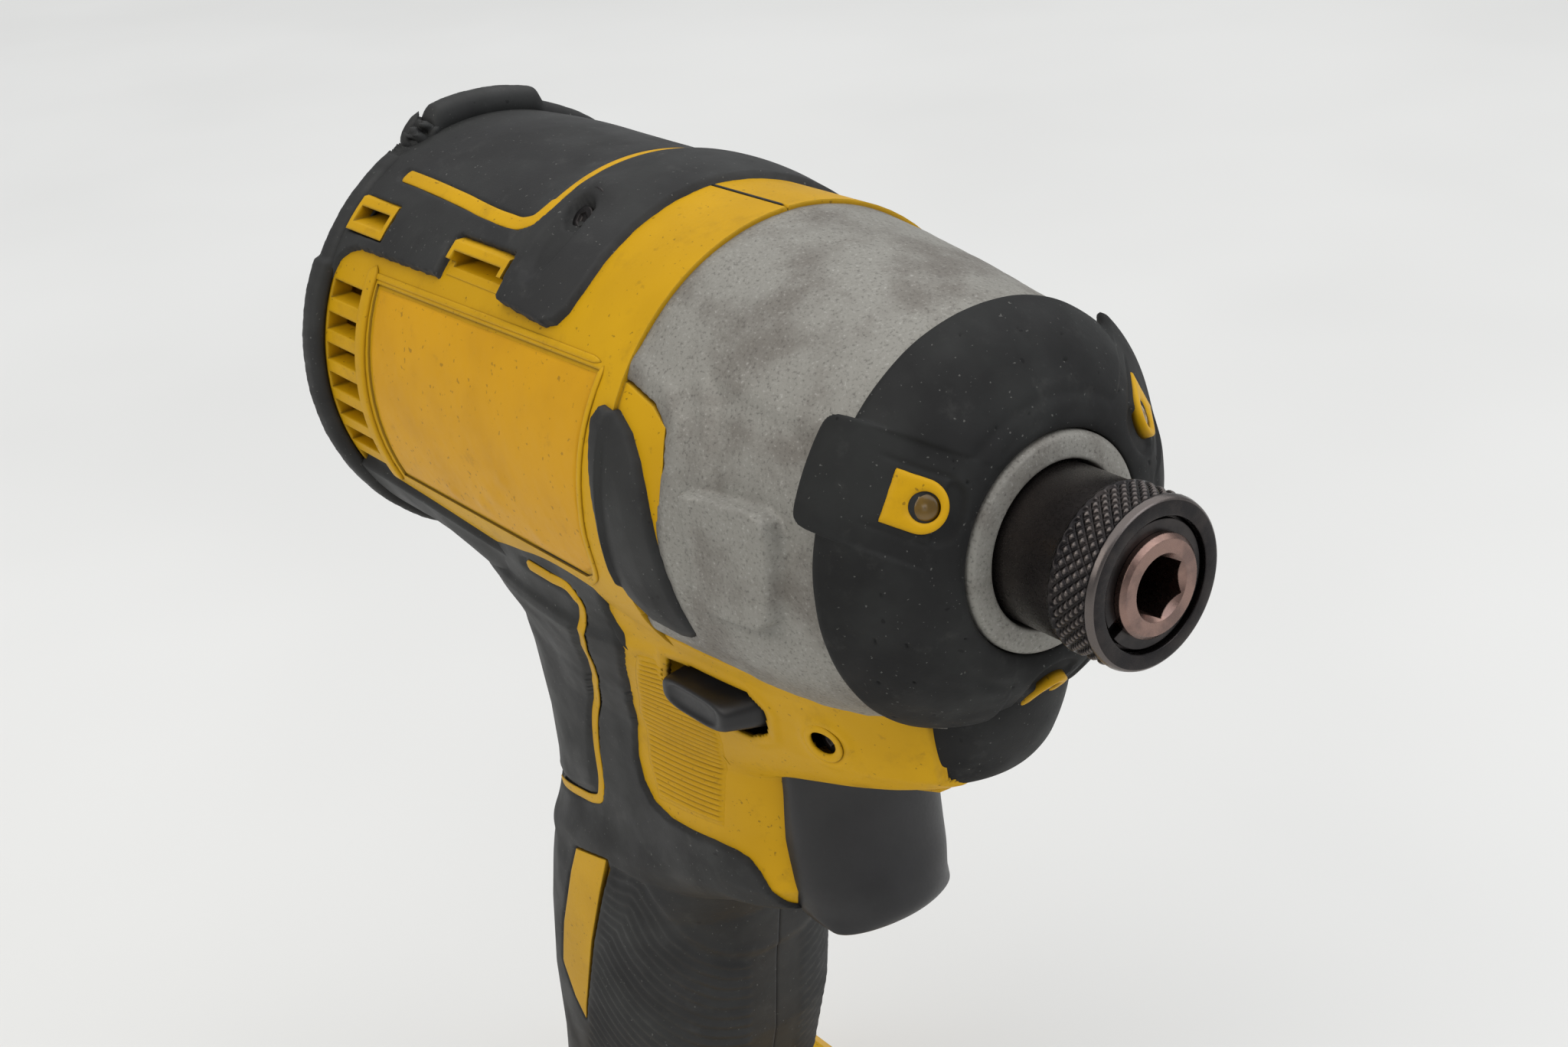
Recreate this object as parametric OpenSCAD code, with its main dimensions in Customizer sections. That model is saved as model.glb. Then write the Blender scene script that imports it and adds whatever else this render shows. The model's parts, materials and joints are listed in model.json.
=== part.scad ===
// Cordless impact driver, bare tool. Output axis along X, bit socket mouth at the origin, handle down.

/* [Output end] */
// Across flats of the hex bit socket
socket_flats = 6.45; // [6.4:0.05:6.6]
// Depth of the hex bit socket
socket_depth = 24; // [20:1:28]
// Radius of the anvil nose that the sleeve slides on
nose_r = 5.95; // [5.85:0.05:6.05]
// Outer radius of the release sleeve
sleeve_r = 9.88; // [9.6:0.02:10.4]
// Distance from the anvil tip back to the sleeve face
sleeve_set_back = 0.7; // [0.5:0.1:1]
// Length of the release sleeve
sleeve_len = 18.5; // [18.2:0.1:18.8]
// Radius of the detent balls
ball_r = 1.7; // [1.55:0.05:1.75]
// Radial clearance of round pieces that slide or turn
run_gap = 0.06; // [0.04:0.01:0.08]

/* [Hammer case] */
// How far the hammer case lies below the barrel at the housing seam
case_step = 0.6; // [0.3:0.1:1]
// Radius of the hammer case behind the nose boot
case_front_r = 25.15; // [24.9:0.05:25.4]
// Distance from the anvil tip back to the housing seam
seam_back = 59.65; // [59:0.05:60.2]
// Distance from the anvil tip back to the rear edge of the nose boot
boot_back = 26.9; // [26.5:0.1:27.5]
// Thickness of the rubber nose boot
boot_t = 1.3; // [1.1:0.1:1.5]
// Radius of the bare case ring round the sleeve
nose_ring_r = 13.1; // [12.6:0.1:13.4]
// Height of the raised square pads on the case sides
pad_h = 0.9; // [0.4:0.1:1.2]
// Thickness of the rubber side bumpers
bumper_t = 1.5; // [1:0.1:2]

/* [Impact unit] */
// Room between the hammer and the barrel wall
hammer_room = 6.7; // [6.3:0.1:7.2]
// Length of the hammer body
hammer_len = 17; // [16.6:0.1:17.2]
// Backward travel of the hammer on its cam
hammer_travel = 8; // [6:0.5:8]
// Width of the anvil wings
wing_w = 9; // [7:0.5:10]
// Wire radius of the hammer spring
hammer_wire_r = 0.95; // [0.8:0.05:1]

/* [Gear stage] */
// Tooth width of the planet gears
planet_len = 6.6; // [6:0.1:6.7]
// Radius of the planet pins
pin_r = 2.5; // [2:0.1:3]

/* [Motor] */
// Room between the stator and the barrel wall
stator_room = 3.7; // [3.2:0.1:4.2]
// Length of the stator core
stator_len = 16; // [15:0.5:17]
// Air gap between rotor and stator
air_gap = 0.6; // [0.5:0.1:0.9]
// Radius of the rotor shaft
shaft_r = 2.5; // [2.3:0.1:2.7]
// Room between the cooling fan and the barrel wall
fan_room = 3.2; // [2:0.1:5]
// Number of fan blades
fan_blades = 11; // [7:1:13]

/* [Housing] */
// Radius of the motor barrel
barrel_r = 30.8; // [30.6:0.1:31.2]
// Wall thickness of the motor barrel
barrel_wall = 3.1; // [2.9:0.1:3.1]
// Distance from the anvil tip back to the rear of the barrel
rear_back = 135.7; // [135:0.1:137]
// Wall thickness of the handle shell
handle_wall = 2.6; // [2.2:0.1:2.8]
// Gap between the two housing halves
seam_gap = 0.1; // [0.06:0.02:0.14]
// Height of the lower edge of the motor overmould above the axis
cover_z = 19; // [18:0.5:19.2]
// How far the rear rim of the overmould stands proud of the barrel
rim_proud = 2.1; // [1.6:0.1:2.6]
// How far the grip overmould stands proud of the housing
grip_t = 1; // [0.8:0.1:1.2]
// Number of vent slots on each side
vent_count = 7; // [5:1:7]
// Height of one vent slot
vent_h = 2.5; // [1.8:0.1:2.8]

/* [Controls] */
// Half width of the trigger
trigger_half_w = 10; // [9:0.5:10.5]
// Travel of the trigger
trigger_travel = 7; // [5:0.5:7]
// Travel of the direction button
button_travel = 5; // [4:0.5:5]
// Length of the direction button along the tool
button_len = 15; // [13:0.5:16]
// Travel of the mode selector
mode_travel = 8; // [6:1:8]

/* [Foot] */
// Length of the foot
foot_len = 72.5; // [70:0.5:74]
// Width of the foot
foot_w = 65; // [64:0.5:68]
// Distance from the output axis down to the foot sole
foot_down = 165; // [163:0.5:168]
// Height of the foot
foot_h = 24; // [23:0.5:26]
// Height of the battery rails
rail_h = 3.5; // [2.5:0.5:4.5]
// How far each battery rail reaches inward
rail_in = 3; // [2:0.5:4]
// Radius of the hook thread hole
hook_r = 1.65; // [1.5:0.05:2]
// Depth of the hook thread hole
hook_depth = 6; // [5:0.5:7]

/* [Hidden] */
$fn = 96;

yellow = [0.92, 0.68, 0.08];
rubber = [0.2, 0.2, 0.21];
alloy = [0.62, 0.6, 0.58];
steel = [0.5, 0.48, 0.46];
dark_steel = [0.16, 0.16, 0.17];
bronze = [0.65, 0.45, 0.2];
copper = [0.72, 0.38, 0.2];
board_green = [0.1, 0.35, 0.2];
seat_gap = 0.05;
barrel_in_r = barrel_r - barrel_wall;
case_r = barrel_r - case_step;
hammer_r = barrel_in_r - hammer_room;

// Output end, from the tip back
sleeve_front = -sleeve_set_back;
sleeve_rear = sleeve_front - sleeve_len;
ring_face = -18.2;
ring_hole_r = 10.6;
sleeve_neck_r = 9;
knurl_rear = sleeve_front - 12.8;
spring_room_r = 8;
land_front = -12.7;
washer_front = -2.2;
washer_rear = -2.9;
clip_front = -1.2;
clip_groove_r = nose_r - 0.5;
clip_r = 7.3;
ball_x = -16;
ball_ring_r = 4.25;
bushing_front = -20.5;
bushing_rear = -37.3;
journal_r = 6.95;
bushing_r = 9.5;

// Impact unit
jaw_front = -37.8;
jaw_rear = -45;
jaw_r = hammer_r - 0.5;
hub_r = 0.52*hammer_r;
cam_r = 0.43*hammer_r;
pilot_r = 0.19*hammer_r;
pilot_front = -38.6;
hammer_front = -46;
hammer_rear = hammer_front - hammer_len;
lug_front = -39;
lug_half_w = 0.38*hammer_r;
lug_in_r = 0.6*hammer_r;
pocket_front = -51;
pocket_in_r = 0.56*hammer_r;
pocket_r = 0.85*hammer_r;
cam_front = -45.6;
flange_front = -71.5;
flange_rear = -74;
flange_r = hammer_r - 0.6;
seat_front = flange_front + 1;
seat_in_r = pocket_in_r + 0.5;
seat_r = pocket_r - 0.5;
hammer_spring_r = (pocket_in_r + pocket_r)/2;
cam_ball_r = 1.6;
cam_ball_x = -50;

// Gear stage
sun_teeth = 9;
planet_teeth = 18;
ring_teeth = 45;
pressure_angle = 25;
addendum = 0.8;
dedendum = 1;
backlash = 0.06;
ring_gear_r = barrel_in_r - 1.7;
ring_wall = 2.5;
tooth_module = (ring_gear_r - ring_wall)/(ring_teeth/2 + dedendum);
gear_distance = tooth_module*(sun_teeth + planet_teeth)/2;
planet_front = flange_rear - 0.3;
planet_rear = planet_front - planet_len;
rear_plate_front = -81.4;
rear_plate_rear = -83.2;
ring_gear_front = -73.5;
plate_front = -84;
plate_rear = -88.2;
carrier_hub_r = 0.38*ring_gear_r;
carrier_bearing_r = carrier_hub_r + 3.1;
sun_hole_r = tooth_module*(sun_teeth/2 + addendum) + 0.6;
post_r = 0.065*ring_gear_r;
post_ring_r = 0.7*ring_gear_r;
spigot_r = barrel_in_r - seat_gap;

// Motor
stator_r = barrel_in_r - stator_room;
stator_in_r = 0.504*stator_r;
rotor_r = stator_in_r - air_gap;
fan_r = barrel_in_r - fan_room;
motor_bearing_r = 8;
motor_bearing_front = -88.4;
motor_bearing_rear = -92.4;
plate_boss_r = 10.5;
plate_boss_rear = -92.6;
board_front = -94.4;
board_rear = -95.6;
stator_front = -99;
stator_rear = stator_front - stator_len;
stator_yoke = stator_r/6;
tooth_count = 6;
tooth_w = 0.21*stator_r;
coil_w = 0.375*stator_r;
coil_over = 2;
fan_front = -119.4;
fan_rear = -125.4;
fan_hub_r = 6;
rear_bearing_r = 6.5;
rear_bearing_front = -127.4;
rear_bearing_rear = -131.4;
shaft_front = planet_front - 0.2;
shaft_rear = -131.6;
pinion_rear = planet_rear - 0.6;

// Housing
seam_x = -seam_back;
rear_x = -rear_back;
rear_wall = 2.7;
cradle_gap = 0.2;
foot_top = foot_h - foot_down;
handle_end = foot_top - 1;
// Handle sections from the top down: height, front, rear, half width, inner front, squareness of the front
handle_sections = [
    [-13, -22.5, -125, 26.6, -26, 4],
    [-18, -22.5, -124.6, 24.4, -26, 4],
    [-22, -22.5, -124, 22, -26, 4],
    [-26, -22.5, -123.2, 20.7, -26, 4],
    [-31, -22.5, -122, 19.6, -26.5, 4],
    [-33, -25, -121, 19.2, -32, 4],
    [-35, -30.5, -120, 18.8, -40, 4],
    [-37, -37, -119.4, 18.4, -48, 4],
    [-39, -44, -119, 18, -56, 4],
    [-40.5, -49, -118.5, 17.7, -57, 4],
    [-42, -53, -118.2, 17.5, -57, 4],
    [-52, -53.5, -116.6, 17, -57, 4],
    [-60, -52.5, -116.3, 17, -57, 4],
    [-63, -53.5, -116.5, 17, -59.5, 3.6],
    [-66, -61, -116.9, 17, -66.5, 3],
    [-71, -71.5, -117.6, 17.2, -75, 2.6],
    [-78, -76.6, -119.8, 17.6, -79.6, 2.6],
    [-90, -78.8, -122.7, 17.8, -81.6, 2.6],
    [-104, -80.8, -125.2, 17.7, -83.6, 2.6],
    [-118, -84.8, -126.2, 16.8, -87.6, 2.6],
    [handle_end + 10, -88.5, -128.2, 16.4, -91.2, 2.6],
    [handle_end, -88, -129.5, 17, -90.8, 2.6]];
// Upper edge of the cradle that carries the hammer case, front to rear
cradle_edge = [[-10, -17], [-20, -17.6], [-28, -19.6], [-36, -20.4], [-48, -19.4], [-60.5, -18], [-60.5,
    0], [-10, 0]];
rear_squareness = 2.6;
section_steps = 20;
grip_top = 4;
// Side view of the grip overmould
grip_edge = [[-84, -24], [-82.7, -38], [-82.3, -48], [-80.8, -52.5], [-77.4, -55.6], [-70, -57.2],
    [-62, -58.4], [-59, -61.2], [-57.4, -65.2], [-50, -66.6], [-50, foot_top + 0.4],
    [-140, foot_top + 0.4], [-140, -24]];
// Side view of the inlay in the grip
inlay_edge = [[-102.2, -73.1], [-93.4, -70.9], [-100.2, -88.4], [-106.5, -107.4], [-112.1, -99.1],
    [-109.3, -90.2]];
// Side view of the case notch, its housing tab and the bumper on it
notch_edge = [[-62, 16.4], [-59.2, 16.1], [-54, 14.6], [-51.1, 12.9], [-50.3, 9], [-50, 4.7], [-50.1, -1.2],
    [-49.6, -6], [-50, -13.2], [-62, -13.2]];
tab_edge = [for (p = notch_edge) [p[0] - 0.2, p[1] - 0.2*sign(p[1])]];
notch_depth = 1.7;
bumper_edge = [[-61.6, 13.4], [-60.4, 15.2], [-54.7, 13], [-50.8, 7.4], [-48.8, 0.3], [-47.6, -6.4],
    [-46.2, -10.2],
    [-49.5, -11.4], [-54.5, -10.4], [-57.4, -7.5], [-58.6, -3.9], [-58.9, 2]];
bumper_rise = case_step + 0.1;
// Side view of the shallow flat on the case and of the square pad that stands in it
hollow_edge = [[-47.4, 18.4], [-44.8, 13.4], [-43.4, 7.6], [-46.6, 0], [-46.2, -8.6], [-34, -9.2], [-25,
    -8.8], [-25, 15]];
hollow_depth = 0.5;
pad_edge = [[-46, 7.1], [-34.4, 7.4], [-32.6, 6.6], [-31.8, 4.8], [-33, -5.6], [-34.4, -7], [-45.8, -7.6]];
label_edge = [[-119, 15.6], [-64.4, 16.4], [-66, -10], [-70, -12], [-117, -12]];
label_depth = 0.35;
rim_front = -131.2;
rim_r = barrel_r + rim_proud;
rim_back = 0.8;
rim_round = 2.4;
rim_in = 6;
rear_round = 3;
fit_gap = 0.1;
vent_front = -122;
vent_rear = -130.5;
vent_pitch = 4.3;
// Vent windows through the overmould: front, rear, lower and upper height
windows = [[-89.6, -103.6, 19.4, 23.8], [-120.6, -131, 20.6, 24.6]];
window_frame = 1.1;
// Outline of the boot from its rear edge to its front lip, and the way it faces there
boot_line = [[case_front_r + 0.15, -boot_back], [case_front_r - 0.2, -24], [case_front_r - 0.9, -22.5],
    [case_front_r - 2.1, -21.1], [case_front_r - 3.8, -20], [case_front_r - 5.6, -19.3],
        [case_front_r - 7.8, -18.8],
    [14.8, -18.5]];
boot_facing = [[1, 0], [0.96, 0.28], [0.85, 0.53], [0.68, 0.73], [0.45, 0.89], [0.3, 0.95], [0.15, 0.99],
    [0.05, 1]];
// Chin that closes the boot under the case, as radius and place along the axis
chin_r = barrel_r + 1.5;
chin_rear = -22.4;
chin_front = -17.8;
chin_line = [[chin_r - 12, chin_rear], [chin_r, chin_rear], [chin_r, chin_front - 3.2], [chin_r - 0.6,
    chin_front - 1.9],
    [chin_r - 2, chin_front - 0.8], [chin_r - 4.4, chin_front - 0.15], [chin_r - 12, chin_front]];
boot_lug_r = case_front_r + 2.05;
boot_lug_edge = [[17, -27.2], [boot_lug_r - 0.5, -27.2], [boot_lug_r, -26.7], [boot_lug_r, -23.6],
    [boot_lug_r - 0.8, -22],
    [boot_lug_r - 2.2, -20.4], [boot_lug_r - 4, -18.9], [boot_lug_r - 6.4, -17.9], [17, -17.9]];
chin_round_r = 16.4;
chin_set = 6.6;
// Outer radius of the motor overmould from front to rear
cover_rise = [[0.6, -74], [1.2, -76.5], [1.7, -80], [1.9, -84.5], [1.7, -88.5], [1.1, -92], [1.1, -100],
    [1.2, -110], [1.3, -122], [1.3, -132]];
cover_line = [for (p = cover_rise) [barrel_r + p[0], p[1]]];
// Side view of the overmould
cover_edge = [[-140, cover_z], [-79, cover_z], [-77, cover_z + 0.5], [-75.3, cover_z + 2.2], [-74.4,
    cover_z + 5], [-74.4, cover_z + 9],
    [-75.2, 2*barrel_r], [-140, 2*barrel_r]];
dish_r = 5.2;
dish_depth = 3;
seam_groove = 0.5;
lamp_angles = [60, 180, 300];
lamp_r = 19.2;
lamp_hole_r = 1.25;
lamp_tab_w = 6;
lamp_tab_in = 17;
lamp_tab_out = 24.6;
lug_w = 12.5;

// Controls
// Trigger sections from the top down: height, front, share of the half width
trigger_sections = [[-39.9, -43.5, 0.95], [-41, -43.2, 0.98], [-44, -43.5, 1], [-48, -43.9, 1], [-52,
    -43.8, 1], [-55, -43.3, 1],
    [-58, -42.5, 1], [-60, -42.1, 1], [-61.6, -42.2, 0.98], [-62.8, -43, 0.93], [-63.6, -44.4, 0.86],
        [-64.1, -46.4, 0.76],
    [-64.3, -49, 0.64]];
trigger_rear = -58.5;
trigger_mid = -52;
trigger_squareness = 2.5;
trigger_back_squareness = 8;
// Side view of the room that the trigger fills
trigger_edge = [[-30, -39], [-42.9, -40], [-53.6, -43.2], [trigger_rear, -44], [trigger_rear, -63.4],
    [-50, -63.4], [-47, -65], [-30, -65]];
// Side view of the slot that the trigger moves back into
slot_rear = trigger_rear - trigger_travel - 0.5;
trigger_slot = [[-40, -39.3], [-43.4 - trigger_travel, -39.3], [-54.2 - trigger_travel, -42.5],
    [slot_rear, -43.3],
    [slot_rear, -64.9], [-40, -64.9]];
trigger_room = -49.5;
stem_r = 2.5;
stem_z = -54;
stem_rear = -73;
switch_front = -66.2;
switch_rear = -92;
switch_half_w = 10.5;
switch_top = -45;
switch_bottom = -64.5;
trigger_wire_r = 0.4;
trigger_spring_r = 4.6;
button_front = -48.8;
button_top = -28;
button_bottom = -32.6;
button_face = -23.2;
button_root = -18.5;
link_top = -31.5;
bar_top = -33.2;
bar_bottom = -37.2;
bar_front = -58;
bar_rear = -63.4;
bar_end = 14;

// Foot
sole_z = -foot_down;
foot_rear = -134.8;
foot_front = foot_rear + foot_len;
foot_corner = 12;
foot_wall = 2.6;
roof_z = foot_top - foot_wall;
floor_top = foot_top - 6.4;
floor_z = floor_top - foot_wall;
cavity_rear = foot_rear + 6;
board_t = 1.6;
board_back = -122;
board_ahead = -78;
block_front = -92;
block_rear = -120;
block_half_w = 16;
block_bottom = floor_z - 10;
board_half_w = foot_w/2 - 10.5;
blade_front = -82;
blade_t = 0.8;
selector_z = foot_top - 4.6;
selector_half_w = 5;
hook_x = -98;
hook_z = foot_top - 4.5;
insert_r = 3;
hook_boss_r = 4.2;

// Screws: along the tool, height, head y, shank end y
screws = [[-38.4, -33.4, -13.5, 9], [-83.5, 29.4, -9.5, 9],
    [-127.5, foot_top - 4.4, -26, 12], [-72, foot_top - 4.4, -26, 12]];
screw_r = 1.3;
screw_head_r = 2.4;
screw_head_h = 2;
boss_r = 2.5;

function case_radius(x) = let (t = (-x - boot_back)/(seam_back - boot_back))
    case_front_r + (case_r - case_front_r)*(1.33*t - 0.33*t*t);
function case_line(grow, front, rear, steps) = [for (i = [0:steps])
    let (x = front + (rear - front)*i/steps) [case_radius(x) + grow, x]];
function section_point(f, r, b, n, t) = let (p = t < 90 ? n : rear_squareness) [
    (f + r)/2 + (f - r)/2*sign(cos(t))*pow(abs(cos(t)), 2/p),
    -seam_gap/2 - b*pow(max(0, sin(t)), 2/p)];
function section_row(s, grow) = [for (k = [0:section_steps])
    let (p = section_point(s[1] + grow, s[2] - grow, s[3] + grow, s[5], 180*k/section_steps)) [p[0],
        p[1], s[0]]];
function inner_row(s) = [for (k = [0:section_steps])
    let (p = section_point(s[4], s[2] + handle_wall, s[3] - handle_wall, s[5], 180*k/section_steps))
    [p[0], p[1], s[0]]];
function trigger_row(row) = [for (k = [0:35])
    let (c = cos(10*k), s = sin(10*k), n = c < 0 ? trigger_back_squareness : trigger_squareness,
    reach = c < 0 ? trigger_mid - trigger_rear + 1 : row[1] - trigger_mid)
    [trigger_mid + reach*sign(c)*pow(abs(c), 2/n), row[2]*trigger_half_w*sign(s)*pow(abs(s), 2/n), row[0]]];
function boot_in(i) = boot_line[i] - boot_t*boot_facing[i];
function cover_radius(x) = lookup(-x, [for (p = cover_line) [-p[1], p[0]]]);
function flip(row) = [for (k = [len(row) - 1:-1:0]) row[k]];
function involute(a) = tan(a)*180/PI - a;
function half_tooth(n, r, extra) = let (pitch = tooth_module*n/2, base = pitch*cos(pressure_angle))
    90/n + involute(pressure_angle) - involute(acos(min(1, base/max(r, base)))) + extra/pitch*180/PI;
function gear_edge(n, r_in, r_out, extra) = [for (i = [0:n - 1], k = [0:7])
    let (r = r_in + (r_out - r_in)*[0, 0.34, 0.67, 1, 1, 0.67, 0.34, 0][k],
        a = 360*i/n + (k < 4 ? -1 : 1)*half_tooth(n, r, extra))
    [r*cos(a), r*sin(a)]];

module turned(profile) {
    rotate([0, 90, 0]) rotate_extrude() polygon(profile);
}

module ring_x(r_out, r_in, front, rear) {
    turned([[r_in, rear], [r_out, rear], [r_out, front], [r_in, front]]);
}

module rod_x(r, front, rear) {
    translate([rear, 0, 0]) rotate([0, 90, 0]) cylinder(r = r, h = front - rear);
}

module rod_y(r, x, z, low, high) {
    translate([x, high, z]) rotate([90, 0, 0]) cylinder(r = r, h = high - low);
}

module side_prism(edge, low, high) {
    translate([0, high, 0]) rotate([90, 0, 0]) linear_extrude(high - low) polygon(edge);
}

module block(low, high) {
    translate(low) cube(high - low);
}

module right_part() {
    intersection() {
        children();
        block([-200, -60, -200], [40, -seam_gap/2, 60]);
    }
}

// Closed skin between an outer and an inner row of points at each height
module lofted(outer, inner) {
    rows = len(outer);
    n = 2*len(outer[0]);
    pts = [for (i = [0:rows - 1]) each concat(outer[i], flip(inner[i]))];
    sides = [for (i = [0:rows - 2], k = [0:n - 1]) let (a = i*n + k, b = i*n + (k + 1)%n)
        each [[a, b + n, b], [a, a + n, b + n]]];
    top = [for (k = [0:n/2 - 2]) each [[k, n - 2 - k, n - 1 - k], [k, k + 1, n - 2 - k]]];
    end = (rows - 1)*n;
    bottom = [for (k = [0:n/2 - 2])
        each [[end + k, end + n - 1 - k, end + n - 2 - k], [end + k, end + n - 2 - k, end + k + 1]]];
    polyhedron(pts, concat(sides, top, bottom));
}

// Closed solid through rows of points, one row at each height, from the top down
module stacked(rows) {
    n = len(rows[0]);
    last = (len(rows) - 1)*n;
    sides = [for (i = [0:len(rows) - 2], k = [0:n - 1]) let (a = i*n + k, b = i*n + (k + 1)%n)
        each [[a, b, b + n], [a, b + n, a + n]]];
    ends = [for (k = [1:n - 2]) each [[0, k + 1, k], [last, last + k, last + k + 1]]];
    polyhedron([for (row = rows) each row], concat(sides, ends));
}

module handle_shell() {
    lofted([for (s = handle_sections) section_row(s, 0)], [for (s = handle_sections) inner_row(s)]);
}

module grip_layer() {
    rows = [for (i = [grip_top:len(handle_sections) - 1]) handle_sections[i]];
    lofted([for (s = rows) section_row(s, grip_t)], [for (s = rows) section_row(s, seat_gap)]);
}

// Round wire coil along X
module coil(mean_r, wire_r, front, rear, turns) {
    steps = 8*turns;
    sides = 6;
    pts = [for (i = [0:steps], k = [0:sides - 1])
        let (a = 360*turns*i/steps, w = 360*k/sides, r = mean_r + wire_r*cos(w))
        [front - wire_r + (rear - front + 2*wire_r)*i/steps + wire_r*sin(w), r*cos(a), r*sin(a)]];
    skin = [for (i = [0:steps - 1], k = [0:sides - 1]) let (a = i*sides + k, b = i*sides + (k + 1)%sides)
        each [[a, b, b + sides], [a, b + sides, a + sides]]];
    last = steps*sides;
    ends = [for (k = [1:sides - 2]) each [[0, k + 1, k], [last, last + k, last + k + 1]]];
    polyhedron(pts, concat(skin, ends));
}

module foot_plan(inset) {
    length = foot_len - 2*inset;
    width = foot_w - 2*inset;
    corner = foot_corner - inset;
    translate([foot_rear + foot_len/2, 0]) {
        square([length - 2*corner, width], center = true);
        square([length, width - 2*corner], center = true);
        for (x = [-1, 1], y = [-1, 1]) {
            translate([x*(length/2 - corner), y*(width/2 - corner)]) circle(corner);
        }
    }
}

module foot_shell() {
    difference() {
        translate([0, 0, sole_z]) linear_extrude(foot_top - sole_z) foot_plan(0);
        translate([0, 0, floor_top]) linear_extrude(roof_z - floor_top) foot_plan(foot_wall);
        block([cavity_rear, -foot_w/2 + foot_wall, sole_z + rail_h + 1.5], [foot_front + 1,
            foot_w/2 - foot_wall, floor_z]);
        block([cavity_rear, -foot_w/2 + foot_wall + rail_in, sole_z - 1], [foot_front + 1,
            foot_w/2 - foot_wall - rail_in, floor_z]);
        block([-122, -11, roof_z - 1], [-97, 11, foot_top + 1]);
    }
}

module barrel_shell() {
    turned([[barrel_in_r, seam_x], [barrel_r, seam_x], [barrel_r, rear_x + rear_round],
        [barrel_r - rear_round, rear_x], [0, rear_x],
        [0, rear_x + rear_wall], [barrel_in_r, rear_x + rear_wall]]);
    ring_x(rear_bearing_r + 2.5, rear_bearing_r + seat_gap, rear_bearing_front, rear_x + rear_wall - 1);
    for (x = [stator_front - 3, stator_rear + 5]) {
        ring_x(barrel_in_r + 1, stator_r + seat_gap, x, x - 2);
    }
}

// Filling of the case notch
module housing_tab() {
    intersection() {
        turned(concat(case_line(0, -46, seam_x - 2, 7), flip(case_line(0.1 - notch_depth, -46,
            seam_x - 2, 7))));
        side_prism(tab_edge, -2*case_r, 0);
        block([seam_x - 1, -2*case_r, -case_r], [0, 0, case_r]);
    }
}

module case_solid(grow, extra) {
    turned(concat([[0, seam_x - extra]], flip(case_line(grow, -boot_back, seam_x - extra, 10)),
        [for (i = [0:len(boot_line) - 1]) [boot_in(i)[0] + grow, boot_in(i)[1] + grow]], [[0,
            boot_in(len(boot_line) - 1)[1] + grow]]));
}

module window_box(w, inset, low, high) {
    block([w[1] + inset, low, w[2] + inset], [w[0] - inset, high, w[3] - inset]);
}

module housing_half(head_side) {
    difference() {
        union() {
            right_part() union() {
                barrel_shell();
                foot_shell();
            }
            difference() {
                union() {
                    handle_shell();
                    for (p = screws) {
                        rod_y(boss_r, p[0], p[1], p[2] - 1, -seam_gap/2);
                    }
                }
                side_prism(cradle_edge, -2*barrel_r, 1);
                case_solid(cradle_gap, 1);
                rod_x(boot_lug_r + 0.3, -10, -boot_back - 0.9);
                rod_x(barrel_in_r + 1, seam_x + 0.5, rear_x + rear_wall);
            }
            housing_tab();
            for (w = windows) {
                intersection() {
                    ring_x(cover_radius(w[0]) - 0.15, barrel_r - 1, w[0], w[1]);
                    window_box(w, 0.15, -40, -10);
                }
            }
            block([-84, -15.6, -62], [-80, -switch_half_w - seat_gap, -48]);
            rod_y(hook_boss_r, hook_x, hook_z, -foot_w/2 + 1, -foot_w/2 + hook_depth + 1);
        }
        for (i = [0:vent_count - 1]) {
            translate([vent_rear, -40, vent_pitch*(i - (vent_count - 1)/2) - vent_h/2])
                cube([vent_front - vent_rear, 20, vent_h]);
        }
        for (w = windows) {
            window_box(w, window_frame, -2*barrel_r, -10);
        }
        intersection() {
            ring_x(barrel_r + 3, barrel_r - label_depth, seam_x, vent_front - 2);
            side_prism(label_edge, -2*barrel_r, -0.6*barrel_r);
        }
        translate([(seam_x + cover_line[0][1])/2, 0, barrel_r]) rotate([45, 0, 0])
            cube([seam_x - cover_line[0][1] + 2, seam_groove, seam_groove], center = true);
        side_prism(trigger_slot, -trigger_half_w - 0.5, 1);
        block([button_front - button_len - 0.4, -40, button_bottom - 0.4], [button_front + 0.4, -12,
            button_top + 0.4]);
        block([foot_front - 6, -selector_half_w - mode_travel/2 - 0.4, selector_z - 1.7],
            [foot_front + 1, 1, selector_z + 1.7]);
        rod_y(insert_r, hook_x, hook_z, -60, -foot_w/2 + hook_depth);
        block([-104, -9, -34], [-78, 1, -25]);
        for (s = screws) {
            rod_y(screw_r + seat_gap, s[0], s[1], s[2] - 0.5, 1);
            if (head_side) {
                rod_y(screw_head_r + 0.2, s[0], s[1], -60, s[2]);
            }
        }
    }
}

module right_housing() {
    color(yellow) housing_half(true);
}

module left_housing() {
    color(yellow) mirror([0, 1, 0]) housing_half(false);
}

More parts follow.
